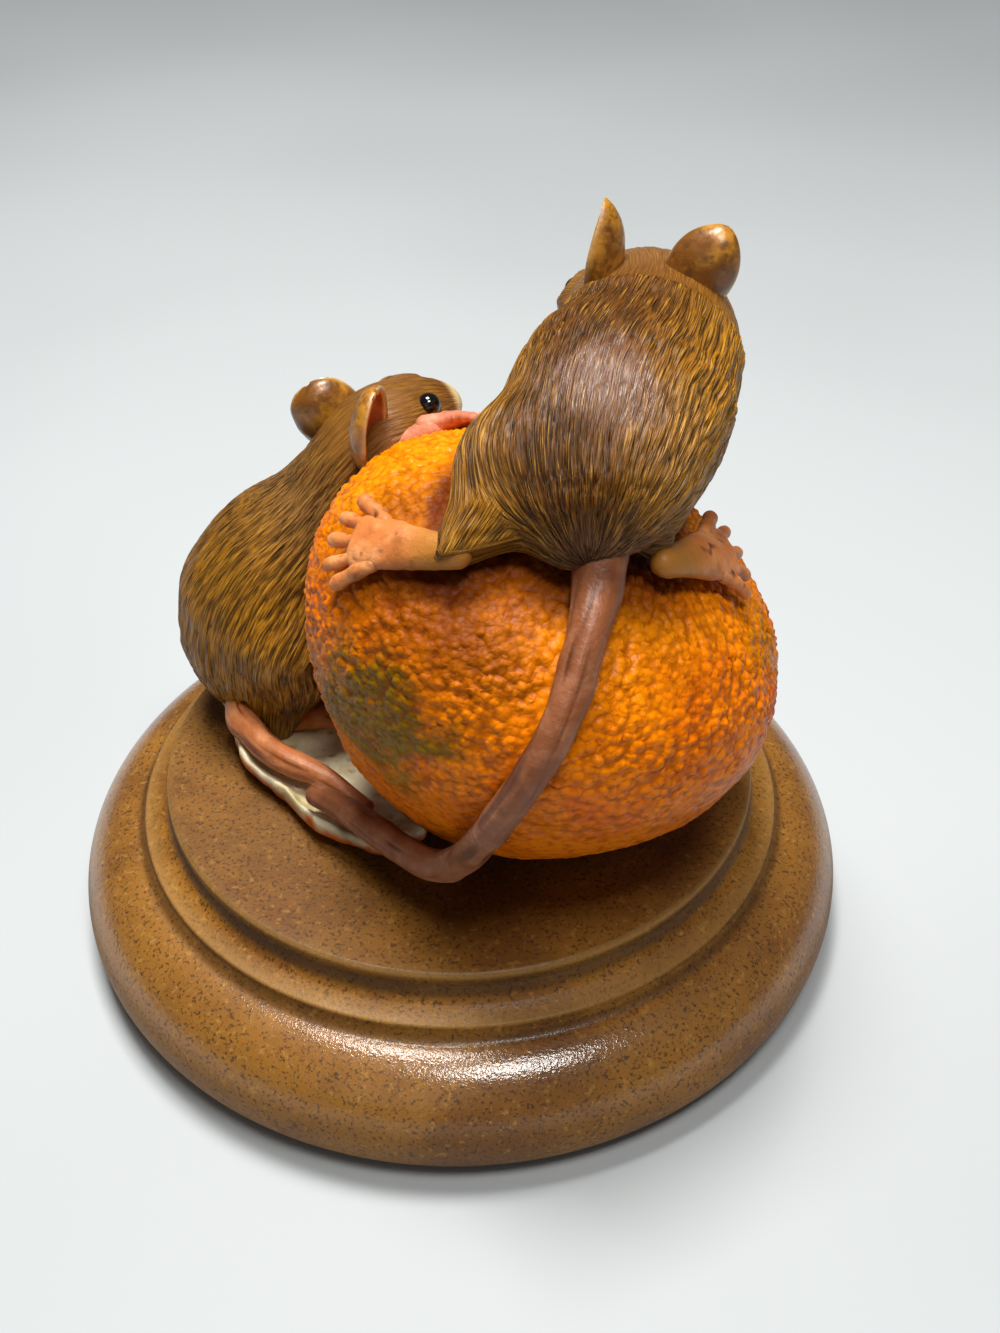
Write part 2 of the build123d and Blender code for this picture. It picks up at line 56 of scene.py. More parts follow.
def softNoise(points, seed=0):
    # lattice values blended with smooth weights between the eight corners round a point
    cell = np.floor(points).astype(np.int64)
    part = points - cell
    part = part * part * (3 - 2 * part)
    total = 0
    for di in (0, 1):
        for dj in (0, 1):
            for dk in (0, 1):
                weight = abs(1 - di - part[..., 0]) * abs(1 - dj - part[..., 1]) * abs(1 - dk - part[..., 2])
                total = total + weight * latticeValue(cell[..., 0] + di, cell[..., 1] + dj, cell[..., 2] + dk, seed)
    return total


def roundNoise(turn, along, count, seed=0):
    # noise on a tube that closes after one turn: count cells round it
    x = turn * count
    cellX = np.floor(x).astype(np.int64)
    cellY = np.floor(along).astype(np.int64)
    fx, fy = x - cellX, along - cellY
    fx, fy = fx * fx * (3 - 2 * fx), fy * fy * (3 - 2 * fy)
    flat = np.zeros_like(cellX)
    near, far = cellX % count, (cellX + 1) % count
    low = latticeValue(near, cellY, flat, seed) * (1 - fx) + latticeValue(far, cellY, flat, seed) * fx
    high = latticeValue(near, cellY + 1, flat, seed) * (1 - fx) + latticeValue(far, cellY + 1, flat, seed) * fx
    return low * (1 - fy) + high * fy


def pebbleNoise(points, seed=0):
    # distance to the nearest and the second nearest of one scattered point per lattice cell
    cell = np.floor(points).astype(np.int64)
    first = np.full(points.shape[:-1], 9.0)
    second = np.full(points.shape[:-1], 9.0)
    for di in (-1, 0, 1):
        for dj in (-1, 0, 1):
            for dk in (-1, 0, 1):
                i, j, k = cell[..., 0] + di, cell[..., 1] + dj, cell[..., 2] + dk
                spot = np.stack([i + latticeValue(i, j, k, seed), j + latticeValue(i, j, k, seed + 1),
                                 k + latticeValue(i, j, k, seed + 2)], -1)
                gap = np.linalg.norm(points - spot, axis=-1)
                second = np.minimum(second, np.maximum(first, gap))
                first = np.minimum(first, gap)
    return first, second


def step(low, high, value):
    # smooth rise from 0 to 1 between two values
    share = np.clip((value - low) / (high - low), 0, 1)
    return share * share * (3 - 2 * share)


def unit(vectors):
    return vectors / np.maximum(np.linalg.norm(vectors, axis=-1, keepdims=True), 1e-9)


def curveThrough(table, share):
    # Catmull-Rom curve through the rows of a table, share from 0 at the first row to 1 at the last
    table = np.asarray(table, float)
    last = len(table) - 1
    place = np.clip(share, 0, 1) * last
    row = np.minimum(place.astype(int), last - 1)
    f = (place - row)[..., None]
    before, start = table[np.maximum(row - 1, 0)], table[row]
    end, after = table[row + 1], table[np.minimum(row + 2, last)]
    return 0.5 * (2 * start + (end - before) * f + (2 * before - 5 * start + 4 * end - after) * f**2
                  + (3 * start - before - 3 * end + after) * f**3)


# meshes

def gridNormals(rows):
    # cross product of the two grid directions, the second one closed round
    alongRows = np.gradient(rows, axis=0)
    wrapped = np.concatenate([rows[:, -1:], rows, rows[:, :1]], 1)
    aroundRows = (wrapped[:, 2:] - wrapped[:, :-2]) / 2
    normals = unit(np.cross(aroundRows, alongRows))
    outward = np.sum(normals * (rows - rows.mean((0, 1))))
    return normals if outward > 0 else -normals


def closedFaces(rows, start):
    # quads between neighbouring rows, closed round, and a fan to a middle point at each end
    n, m = rows.shape[:2]
    i, j = np.meshgrid(np.arange(n - 1), np.arange(m), indexing="ij")
    a, b = start + i * m + j, start + i * m + (j + 1) % m
    quads = np.stack([a, b, b + m, a + m], -1).reshape(-1, 4)
    j = np.arange(m)
    first, last = start + n * m, start + n * m + 1
    top = np.stack([start + (j + 1) % m, start + j, np.full(m, first)], -1)
    end = start + (n - 1) * m
    low = np.stack([end + j, end + (j + 1) % m, np.full(m, last)], -1)
    points = np.concatenate([rows.reshape(-1, 3), rows[0].mean(0)[None], rows[-1].mean(0)[None]])
    corners = points - points.mean(0)
    fan = np.concatenate([quads[:, [0, 1, 2]], quads[:, [0, 2, 3]], top, low]) - start
    volume = np.einsum("ij,ij->", corners[fan[:, 0]], np.cross(corners[fan[:, 1]], corners[fan[:, 2]]))
    if volume < 0:
        quads, top, low = quads[:, ::-1], top[:, ::-1], low[:, ::-1]
    return points, quads.tolist() + top.tolist() + low.tolist()


def makePiece(name, grids, material, nodes, slotName, **marks):
    # one object from closed grids of points; marks are numbers for each point that the material reads
    allPoints, allFaces, count = [], [], 0
    for rows in grids:
        points, faces = closedFaces(rows, count)
        allPoints.append(points)
        allFaces += faces
        count += len(points)
    mesh = bpy.data.meshes.new(name)
    mesh.from_pydata((np.concatenate(allPoints) * millimetre).tolist(), [], allFaces)
    mesh.polygons.foreach_set("use_smooth", np.ones(len(mesh.polygons), bool))
    for markName, values in marks.items():
        layer = mesh.attributes.new(markName, "FLOAT", "POINT")
        flat = [np.concatenate([v.ravel(), [v[0].mean(), v[-1].mean()]]) for v in values]
        layer.data.foreach_set("value", np.concatenate(flat).astype(np.float32))
    mesh.update()
    mesh.materials.append(material)
    piece = bpy.data.objects.new(name, mesh)
    scene.collection.objects.link(piece)
    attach(piece, "root")
    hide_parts(*nodes)
    print("piece", name, len(mesh.polygons), "faces")
    return piece


def tubeRows(path, sizes, side, around=48, capRows=6):
    # ellipses (half width, half depth) along a path, side is the direction of the half depth; round ends
    path, sizes = np.asarray(path, float), np.asarray(sizes, float)
    side = np.broadcast_to(np.asarray(side, float), path.shape)
    along = unit(np.gradient(path, axis=0))
    depth = unit(side - np.sum(side * along, -1, keepdims=True) * along)
    width = np.cross(depth, along)
    bend = np.linspace(0, np.pi / 2, capRows, endpoint=False)[::-1]
    startReach = min(sizes[0]) * np.sin(bend)
    endReach = min(sizes[-1]) * np.sin(bend[::-1])
    head = path[0] - along[0] * startReach[:, None]
    tail = path[-1] + along[-1] * endReach[:, None]
    shrinkHead, shrinkTail = np.cos(bend), np.cos(bend[::-1])
    path = np.concatenate([head, path[1:-1], tail])
    sizes = np.concatenate([sizes[0] * shrinkHead[:, None], sizes[1:-1], sizes[-1] * shrinkTail[:, None]])
    pad = lambda rows: np.concatenate([np.repeat(rows[:1], capRows, 0), rows[1:-1], np.repeat(rows[-1:], capRows, 0)])
    width, depth = pad(width), pad(depth)
    angle = np.linspace(0, 2 * np.pi, around, endpoint=False)
    return (path[:, None] + width[:, None] * (sizes[:, :1] * np.cos(angle))[..., None]
            + depth[:, None] * (sizes[:, 1:] * np.sin(angle))[..., None])


# materials

def tint(red, green, blue):
    # a screen colour from 0 to 255 as the shader's linear value
    share = np.array([red, green, blue]) / 255
    linear = np.where(share <= 0.04045, share / 12.92, ((share + 0.055) / 1.055) ** 2.4)
    return (*linear.tolist(), 1)


class Paint:
    # a material with short calls for its nodes
    def __init__(self, name, roughness, coat=0.0, coatRoughness=0.2, glare=0.5):
        self.material = bpy.data.materials.new(name)
        self.material.use_nodes = True
        self.nodes = self.material.node_tree.nodes
        self.links = self.material.node_tree.links
        self.shader = self.nodes["Principled BSDF"]
        self.shader.inputs["Roughness"].default_value = roughness
        self.shader.inputs["Specular IOR Level"].default_value = glare
        self.shader.inputs["Coat Weight"].default_value = coat
        self.shader.inputs["Coat Roughness"].default_value = coatRoughness
        self.coords = self.nodes.new("ShaderNodeTexCoord").outputs["Object"]

    def join(self, source, socket):
        if hasattr(source, "is_output"):
            self.links.new(source, socket)
        else:
            socket.default_value = source

    def mark(self, name):
        node = self.nodes.new("ShaderNodeAttribute")
        node.attribute_name = name
        return node.outputs["Fac"]

    def noise(self, scale, detail=3, roughness=0.55):
        node = self.nodes.new("ShaderNodeTexNoise")
        node.inputs["Scale"].default_value = scale
        node.inputs["Detail"].default_value = detail
        node.inputs["Roughness"].default_value = roughness
        self.links.new(self.coords, node.inputs["Vector"])
        return node.outputs["Fac"]

    def cells(self, scale):
        node = self.nodes.new("ShaderNodeTexVoronoi")
        node.inputs["Scale"].default_value = scale
        self.links.new(self.coords, node.inputs["Vector"])
        return node.outputs["Distance"]

    def hair(self, part, count, stretch):
        # thin lines that follow the laid fur: count of them round a part, stretch of the length along it
        place = self.nodes.new("ShaderNodeCombineXYZ")
        self.links.new(self.times(self.mark(part + "Turn"), count), place.inputs[0])
        self.links.new(self.times(self.mark(part + "Length"), stretch), place.inputs[1])
        node = self.nodes.new("ShaderNodeTexNoise")
        node.inputs["Scale"].default_value = 1.0
        node.inputs["Detail"].default_value = 2
        self.links.new(place.outputs[0], node.inputs["Vector"])
        return node.outputs["Fac"]

    def blend(self, first, second, share):
        rest = self.times(1.0, share, "SUBTRACT")
        return self.times(self.times(first, rest), self.times(second, share), "ADD")

    def between(self, value, low, high, start=0.0, end=1.0):
        node = self.nodes.new("ShaderNodeMapRange")
        node.interpolation_type = "SMOOTHSTEP"
        self.join(value, node.inputs["Value"])
        for name, number in zip(("From Min", "From Max", "To Min", "To Max"), (low, high, start, end)):
            node.inputs[name].default_value = number
        return node.outputs["Result"]

    def times(self, first, second, operation="MULTIPLY"):
        node = self.nodes.new("ShaderNodeMath")
        node.operation = operation
        self.join(first, node.inputs[0])
        self.join(second, node.inputs[1])
        return node.outputs[0]

    def mix(self, first, second, share):
        node = self.nodes.new("ShaderNodeMix")
        node.data_type = "RGBA"
        self.join(share, node.inputs[0])
        self.join(first, node.inputs[6])
        self.join(second, node.inputs[7])
        return node.outputs[2]

    def wash(self, body, **colours):
        # a colour laid over the body where the mark of that name is strong
        for name, colour in colours.items():
            body = self.mix(body, tint(*colour), self.mark(name))
        return body

    def bump(self, height, distance, strength=1.0):
        node = self.nodes.new("ShaderNodeBump")
        node.inputs["Strength"].default_value = strength
        node.inputs["Distance"].default_value = distance
        self.links.new(height, node.inputs["Height"])
        if self.shader.inputs["Normal"].is_linked:
            self.links.new(self.shader.inputs["Normal"].links[0].from_socket, node.inputs["Normal"])
        self.links.new(node.outputs["Normal"], self.shader.inputs["Normal"])

    def colour(self, socket):
        self.links.new(socket, self.shader.inputs["Base Color"])

    def gloss(self, socket):
        self.links.new(socket, self.shader.inputs["Roughness"])


def furPaint():
    paint = Paint("varnishedFur", 0.4, 0.06, 0.25, 0.3)
    groove = paint.mark("groove")
    cloud = paint.noise(150, 4, 0.6)
    leg = paint.mark("leg")
    hair = paint.blend(paint.hair("hair", 430, 0.26), paint.hair("leg", 140, 0.26), leg)
    clump = paint.blend(paint.hair("hair", 210, 0.18), paint.hair("leg", 70, 0.18), leg)
    # gold also carries the lower mouse's painted highlight band along its near flank
    coat = paint.wash(tint(106, 62, 10), gold=(184, 124, 12))
    coat = paint.mix(coat, tint(82, 46, 8), paint.between(cloud, 0.5, 0.72, 0, 0.5))
    # grey also carries a painted highlight on the lower mouse's neck, sheen is a painted reflection on the upper
    # mouse's back, and dark also carries painted shade at the lower mouse's bottom
    coat = paint.wash(coat, grey=(150, 110, 66), root=(152, 102, 72), sheen=(118, 84, 68), dark=(52, 32, 12))
    deep = paint.mix(coat, tint(30, 16, 3), 0.82)
    lines = paint.times(paint.between(hair, 0.50, 0.38), paint.mark("line"))
    gaps = paint.times(paint.between(clump, 0.47, 0.38), paint.mark("line"))
    body = paint.mix(deep, coat, paint.between(groove, 0.05, 0.50))
    body = paint.mix(body, deep, paint.times(lines, 0.85))
    body = paint.mix(body, deep, paint.times(gaps, 0.65))
    # a painted highlight: light gold laid on the hair's ridges
    glint = paint.times(paint.between(hair, 0.54, 0.66, 0, 0.6), paint.between(groove, 0.5, 0.9))
    body = paint.mix(body, tint(206, 154, 56), paint.times(glint, paint.mark("line")))
    paint.colour(paint.wash(body, muzzle=(222, 196, 142), nose=(104, 62, 42)))
    paint.gloss(paint.between(paint.mark("sheen"), 0.0, 0.6, 0.42, 0.24))
    paint.bump(paint.times(hair, paint.mark("line")), 0.0005, 1.0)
    paint.bump(paint.times(clump, paint.mark("line")), 0.0005, 0.9)
    return paint.material


def skinPaint(name, base, deep, pale):
    # painted bare skin: tails, feet and paws, with a brown wash in the folds
    paint = Paint(name, 0.42, 0.05, 0.25, 0.25)
    fold = paint.mark("fold")
    cloud = paint.noise(260, 4, 0.6)
    fine = paint.noise(1400, 3)
    body = paint.mix(base, pale, paint.between(cloud, 0.42, 0.7, 0, 0.8))
    body = paint.mix(body, deep, paint.between(paint.noise(200, 3), 0.5, 0.75, 0, 0.5))
    body = paint.mix(deep, body, paint.between(fold, 0.1, 0.6))
    paint.colour(paint.wash(body, cuff=(170, 112, 44)))
    paint.gloss(paint.between(fine, 0.3, 0.7, 0.36, 0.5))
    paint.bump(fine, 0.00016, 0.8)
    return paint.material


def earPaint():
    paint = Paint("varnishedEar", 0.34, 0.2, 0.22)
    cloud = paint.noise(220, 4, 0.6)
    fine = paint.noise(1300, 3)
    outer = paint.mix(tint(118, 72, 22), tint(186, 128, 38), paint.between(cloud, 0.4, 0.64))
    outer = paint.mix(outer, tint(84, 50, 16), paint.between(paint.noise(700, 3), 0.52, 0.66, 0, 0.6))
    # dark is painted shade at the ear's root
    outer = paint.wash(outer, dark=(74, 46, 22))
    inner = paint.mix(tint(128, 72, 52), tint(164, 102, 76), paint.between(cloud, 0.4, 0.65))
    body = paint.mix(outer, inner, paint.mark("inside"))
    body = paint.mix(body, tint(212, 180, 122), paint.times(paint.mark("rim"), 0.55))
    paint.colour(body)
    paint.gloss(paint.between(fine, 0.3, 0.7, 0.26, 0.42))
    paint.bump(fine, 0.00010, 0.6)
    return paint.material


def rindPaint():
    paint = Paint("pebbledRind", 0.36, 0.04, 0.25, 0.11)
    pebble = paint.mark("pebble")
    cloud = paint.noise(110, 4, 0.6)
    small = paint.cells(950)
    body = paint.mix(tint(242, 130, 0), tint(218, 100, 0), paint.between(cloud, 0.4, 0.7))
    # bright is a painted highlight on the upper faces and shade is painted shade on the lower faces; green, pink and
    # pale are the rind's own colour
    body = paint.wash(body, bright=(252, 152, 8), shade=(190, 92, 0), green=(116, 98, 0), pink=(196, 92, 20), pale=(136, 100, 56))
    # painted shade: a darker colour in the crevices between the pebbles and in the small hollows
    pit = paint.mix(body, tint(120, 46, 0), 0.6)
    body = paint.mix(pit, body, paint.between(pebble, 0.0, 0.42))
    body = paint.mix(body, pit, paint.times(paint.between(small, 0.42, 0.75, 0, 0.6), paint.mark("rough")))
    # painted shadow: dark red-brown on the rind close to the upper mouse and below its rump, less glossy and without
    # coat there
    paint.colour(paint.wash(body, stain=(84, 22, 0)))
    shine = paint.between(paint.noise(500, 2), 0.3, 0.7, 0.24, 0.38)
    paint.gloss(paint.times(shine, paint.times(paint.mark("stain"), 0.25), "ADD"))
    paint.links.new(paint.between(paint.mark("stain"), 0, 0.6, 0.04, 0.0), paint.shader.inputs["Coat Weight"])
    paint.bump(paint.times(paint.times(small, -1.0), paint.mark("rough")), 0.0004, 0.75)
    return paint.material


def pithPaint():
    paint = Paint("tornPith", 0.5, 0.2, 0.3)
    cloud = paint.noise(180, 4, 0.6)
    fine = paint.noise(1200, 3)
    pith = paint.mix(tint(226, 214, 178), tint(196, 180, 132), paint.between(cloud, 0.45, 0.68))
    pith = paint.wash(pith, pit=(120, 100, 56))
    rind = paint.mix(tint(224, 112, 22), tint(170, 74, 18), paint.between(paint.noise(300, 3), 0.4, 0.65))
    body = paint.mix(pith, rind, paint.mark("rind"))
    paint.colour(body)
    paint.gloss(paint.between(fine, 0.3, 0.7, 0.4, 0.62))
    paint.bump(fine, 0.00015, 0.7)
    return paint.material


def varnishPaint():
    paint = Paint("speckledVarnish", 0.34, 0.8, 0.13, 0.3)
    paint.shader.inputs["Coat IOR"].default_value = 1.75
    speck = paint.noise(1900, 2, 0.7)
    grain = paint.noise(900, 3, 0.6)
    cloud = paint.noise(60, 4, 0.6)
    body = paint.mix(tint(142, 94, 26), tint(114, 70, 16), paint.between(cloud, 0.4, 0.68))
    body = paint.mix(body, tint(62, 38, 12), paint.between(speck, 0.52, 0.66, 0, 0.85))
    body = paint.mix(body, tint(176, 130, 58), paint.between(grain, 0.56, 0.7, 0, 0.5))
    # worn is a painted highlight on the edges; hollow is painted shade in the coves, and also makes the top darker
    paint.colour(paint.wash(body, worn=(148, 112, 58), hollow=(52, 32, 12)))
    paint.gloss(paint.between(grain, 0.3, 0.7, 0.48, 0.62))
    paint.links.new(paint.mark("polish"), paint.shader.inputs["Coat Weight"])
    paint.bump(grain, 0.00010, 0.20)
    paint.bump(speck, 0.00012, 0.55)
    paint.links.new(paint.shader.inputs["Normal"].links[0].from_socket, paint.shader.inputs["Coat Normal"])
    return paint.material


def eyePaint():
    paint = Paint("blackBead", 0.06, 0.6, 0.03)
    paint.colour(paint.mix(tint(10, 8, 7), tint(30, 20, 14), paint.between(paint.noise(600, 2), 0.45, 0.75)))
    return paint.material


def feltPaint():
    paint = Paint("greenFelt", 0.95)
    paint.shader.inputs["Sheen Weight"].default_value = 0.3
    fibre = paint.noise(2400, 4, 0.7)
    paint.colour(paint.mix(tint(44, 62, 38), tint(84, 104, 66), paint.between(fibre, 0.35, 0.7)))
    paint.bump(fibre, 0.0003, 0.8)
    return paint.material


def steelPaint():
    paint = Paint("platedSteel", 0.35)
    paint.shader.inputs["Metallic"].default_value = 1.0
    scratch = paint.noise(1800, 3, 0.6)
    paint.colour(paint.mix(tint(168, 168, 164), tint(206, 206, 202), paint.between(scratch, 0.35, 0.7)))
    paint.gloss(paint.between(scratch, 0.3, 0.7, 0.26, 0.44))
    return paint.material


fur = furPaint()
footSkin = skinPaint("footSkin", tint(200, 118, 60), tint(84, 36, 16), tint(224, 154, 98))
pawSkin = skinPaint("pawSkin", tint(200, 124, 94), tint(152, 66, 44), tint(222, 166, 138))
upperTailSkin = skinPaint("upperTailSkin", tint(130, 76, 46), tint(84, 44, 24), tint(158, 104, 74))
lowerTailSkin = skinPaint("lowerTailSkin", tint(176, 104, 58), tint(116, 60, 30), tint(198, 132, 86))
earSkin = earPaint()
rind = rindPaint()
pith = pithPaint()
varnish = varnishPaint()
bead = eyePaint()
print("materials made")


# the orange: an egg turned about a leaning axis

orangeForm = {"middle": (8.8, -12.1, 50.217), "lean": 22.9, "radius": 30.3, "halfHeight": 26.6,
              "shoulder": 0.275, "rows": 216, "columns": 460, "pebble": 1.35, "pebbleHeight": 0.50, "lump": 0.6, "inset": 0.35}
orangeMiddle = np.array(orangeForm["middle"])
leanTurn = np.radians(orangeForm["lean"])
orangeAxis = np.array([np.sin(leanTurn), 0, np.cos(leanTurn)])
orangeSide = np.array([np.cos(leanTurn), 0, -np.sin(leanTurn)])
orangeBack = np.array([0, 1.0, 0])
eggLatitude = np.radians(np.linspace(90, -90, 1441))
eggOut = orangeForm["radius"] * np.cos(eggLatitude) * (1 + orangeForm["shoulder"] * np.sin(eggLatitude))
eggAlong = orangeForm["halfHeight"] * np.sin(eggLatitude)
eggPolar, eggReach = np.arctan2(eggOut, eggAlong), np.hypot(eggOut, eggAlong)


def skinReach(directions):
    # distance from the orange's middle to its skin along unit directions
    polar = np.arccos(np.clip(directions @ orangeAxis, -1, 1))
    return np.interp(polar, eggPolar, eggReach)


def offSkin(points):
    # height of points above the orange's skin, below zero inside
    away = points - orangeMiddle
    reach = np.linalg.norm(away, axis=-1)
    return reach - skinReach(away / np.maximum(reach, 1e-6)[..., None])


def onBearing(azimuth, elevation, lift):
    # places above the skin at bearings seen from the orange's middle
    a, e = np.radians(np.asarray(azimuth, float)), np.radians(np.asarray(elevation, float))
    direction = np.stack([np.cos(e) * np.cos(a), np.cos(e) * np.sin(a), np.sin(e)], -1)
    return orangeMiddle + direction * (skinReach(direction) + np.asarray(lift, float))[..., None]


def overOrange(x, y):
    # highest place of the skin above x, y, by halving the height range
    low, high = orangeMiddle[2], orangeMiddle[2] + 60
    for _ in range(40):
        middle = (low + high) / 2
        if offSkin(np.array([x, y, middle])) < 0:
            low = middle
        else:
            high = middle
    return np.array([x, y, middle])


# the mice: blended ellipsoids along a spine, met by rays from the spine

# spine rows: right, front and up as shares of the sizes, then half width and half depth as shares of the girth
# ears: root, length direction, opening direction, length and width shares, sharpness of the tip
# feet: heel and toes, with the height as a share of the foot's thickness; paws: shoulder, wrist, finger tips
plateHeight = 24.6
upperMouse = {
    "name": "upper_mouse", "seat": onBearing(11.0, 69.0, 0.0), "heading": 77.0,
    "sizes": (26.0, 50.0, 13.8), "girth": (26.0, 22.6),
    "spine": [
        (0.070, -0.369, 0.203, 0.160, 0.155), (0.040, -0.339, 0.312, 0.285, 0.288),
        (0.015, -0.269, 0.493, 0.410, 0.412), (0.020, -0.127, 0.710, 0.490, 0.487),
        (0.065, 0.027, 0.855, 0.510, 0.500), (0.120, 0.152, 0.964, 0.455, 0.450),
        (0.140, 0.276, 1.000, 0.388, 0.384), (0.095, 0.385, 0.949, 0.355, 0.381),
        (-0.010, 0.477, 0.783, 0.330, 0.363), (-0.150, 0.555, 0.551, 0.265, 0.288),
        (-0.265, 0.615, 0.333, 0.178, 0.195), (-0.340, 0.654, 0.181, 0.086, 0.093),
    ],
    "haunch": {"left": (-0.308, -0.220, 0.590), "right": (0.225, -0.050, 0.600)},
    "haunchRadii": {"left": 7.8, "right": 6.2}, "legRadii": {"left": (6.0, 2.9), "right": (3.2, 1.0)},
    "feet": {"left": ((-0.500, -0.430, 0.55), (-1.090, -0.340, 0.55)),
             "right": ((0.300, -0.260, 0.55), (0.640, 0.018, 0.65))},
    "paws": {"left": ((-0.200, 0.180, 0.620), (-0.420, 0.330), (-0.520, 0.480)),
             "right": ((0.280, 0.150, 0.600), (0.260, 0.250), (0.230, 0.390))},
    "ears": {"left": ((-0.185, 0.345, 1.105), (0.10, 0.00, 1.00), (-0.92, 0.39, 0.00), (1.135, 0.86), 1.7),
             "right": ((0.235, 0.310, 1.240), (0.46, -0.12, 0.88), (0.40, 0.85, -0.20), (0.94, 0.85), 1.15)},
    "footLength": 16.5, "lids": {"left": 0.8, "right": 0.5}, "fan": (0.17, 0.965), "seed": 11,
}
lowerPlace = {"reach": 43.8, "bearing": np.radians(145)}  # from the orange's middle
lowerSeat = orangeMiddle[:2] + lowerPlace["reach"] * np.array([np.cos(lowerPlace["bearing"]), np.sin(lowerPlace["bearing"])])
lowerMouse = {
    "name": "lower_mouse", "seat": np.array([*lowerSeat, plateHeight]), "heading": 0.0,
    "sizes": (28.0, 30.0, 47.0), "girth": (28.0, 26.6),
    "spine": [
        (0.000, -0.050, 0.072, 0.193, 0.188), (0.000, -0.040, 0.119, 0.357, 0.357),
        (0.000, -0.020, 0.221, 0.464, 0.462), (0.000, 0.013, 0.391, 0.500, 0.500),
        (0.000, 0.117, 0.545, 0.454, 0.429), (0.000, 0.277, 0.685, 0.364, 0.316),
        (-0.014, 0.397, 0.787, 0.314, 0.271), (-0.057, 0.510, 0.864, 0.307, 0.278),
        (-0.136, 0.625, 0.921, 0.286, 0.267), (-0.218, 0.762, 0.951, 0.214, 0.203),
        (-0.279, 0.866, 0.962, 0.132, 0.130), (-0.314, 0.922, 0.960, 0.061, 0.060),
    ],
    "haunch": {"left": (-0.300, 0.140, 0.360), "right": (0.300, 0.140, 0.360)},
    "haunchRadii": {"left": 8.5, "right": 8.5}, "legRadii": {"left": (6.0, 2.9), "right": (6.0, 2.9)},
    "feet": {"left": ((-0.350, 0.050, 0.10), (-0.380, 0.450, 0.10)),
             "right": ((0.380, 0.020, 0.10), (0.180, 0.420, 0.10))},
    "paws": {"left": ((-0.200, 0.420, 0.720), (-0.120, 0.780), (-0.060, 1.010)),
             "right": ((0.150, 0.420, 0.720), (0.130, 0.800), (0.200, 1.090))},
    "ears": {"left": ((-0.330, 0.410, 0.845), (-0.46, -0.14, 0.87), (-0.25, 0.95, 0.10), (0.88, 0.96), 0.75),
             "right": ((0.190, 0.570, 0.935), (0.05, -0.10, 1.00), (0.95, -0.30, 0.00), (0.94, 0.92), 0.9)},
    "footLength": 13.0, "lids": {"left": 0.6, "right": 0.1}, "fan": (0.22, 0.965), "seed": 47,
}
peelForm = {"turn": 32.0, "halfWidth": 10.5, "halfLength": 24.0, "dish": 6.2, "thickness": 2.0,
            "offset": (7.0, -16.0), "spread": 1.22, "columns": 300, "upperRows": 70, "underRows": 40,
            "outline": [(1.00, 5), (0.93, 30), (1.02, 58), (0.95, 90), (1.00, 122), (0.90, 150), (0.97, 172), (0.84, 196),
                        (0.97, 216), (0.90, 236), (0.99, 254), (0.94, 272), (1.04, 292), (0.92, 318), (1.00, 342)]}
peelMiddle = np.array([lowerSeat[0] + peelForm["offset"][0], lowerSeat[1] + peelForm["offset"][1],
                       plateHeight + peelForm["dish"]])
peelTurn = np.radians(peelForm["turn"])
peelAcross = np.array([np.cos(peelTurn), np.sin(peelTurn), 0])
peelAlong = np.array([-np.sin(peelTurn), np.cos(peelTurn), 0])


def setMouse(mouse):
    # directions to the mouse's right and front, and the world places of its table rows
    turn = np.radians(mouse["heading"])
    mouse["axes"] = np.array([[np.sin(turn), -np.cos(turn), 0], [np.cos(turn), np.sin(turn), 0], [0, 0, 1.0]])
    rows = np.array(mouse["spine"])
    mouse["line"] = placeOf(mouse, rows[:, :3])
    mouse["halves"] = rows[:, 3:] * np.array(mouse["girth"])
    mouse["haunches"] = {side: placeOf(mouse, shares) for side, shares in mouse["haunch"].items()}
    mouse["soles"] = {side: [solePlace(mouse, row) for row in rows] for side, rows in mouse["feet"].items()}


def placeOf(mouse, shares):
    return mouse["seat"] + (np.asarray(shares, float) * np.array(mouse["sizes"])) @ mouse["axes"]


def peelHeight(flat):
    # upper face of the dish above a place, or the plinth's top beside it
    away = flat - peelMiddle
    inside = 1 - (away @ peelAcross / (peelForm["halfWidth"] * peelForm["spread"])) ** 2
    inside = inside - (away @ peelAlong / (peelForm["halfLength"] * peelForm["spread"])) ** 2
    if inside < 1 - 1 / peelForm["spread"] ** 2:
        return plateHeight
    return peelMiddle[2] + peelForm["thickness"] - peelForm["dish"] * np.sqrt(inside)


def solePlace(mouse, row):
    flat = placeOf(mouse, (row[0], row[1], 0))
    ground = overOrange(flat[0], flat[1])[2] if mouse["name"] == "upper_mouse" else peelHeight(flat)
    return np.array([flat[0], flat[1], ground + footForm["thickness"] * row[2]])


def spineFrames(mouse, share):
    # middle, left, back and along directions and half sizes at shares of the spine
    middle = curveThrough(mouse["line"], share)
    ahead = curveThrough(mouse["line"], share + 0.01)
    behind = curveThrough(mouse["line"], share - 0.01)
    along = unit(ahead - behind)
    left = -mouse["axes"][0]
    left = unit(left - np.sum(left * along, -1, keepdims=True) * along)
    return middle, left, np.cross(along, left), along, curveThrough(mouse["halves"], share)


furForm = {
    "rows": 240, "columns": 400, "coarse": (96, 96), "blend": 3.0,
    "slices": 90, "slice": 0.35, "legBalls": 16,  # ellipsoids along the spine and their share of thickness, balls along a leg
    "rearFan": 0.2, "straight": 0.72, "frontFan": 0.08, "startReach": 0.5, "rounds": 36, "stride": 0.9, "reachRange": (0.2, 40),
    "strand": 0.30, "strandCount": 104, "wisp": 0.20, "wispCount": 150, "lumps": 0.3, "lidRing": (2.4, 0.8),
}


def blendMin(first, second, width):
    # smooth minimum of two distances
    share = np.clip(0.5 + 0.5 * (second - first) / width, 0, 1)
    return second * (1 - share) + first * share - width * share * (1 - share)


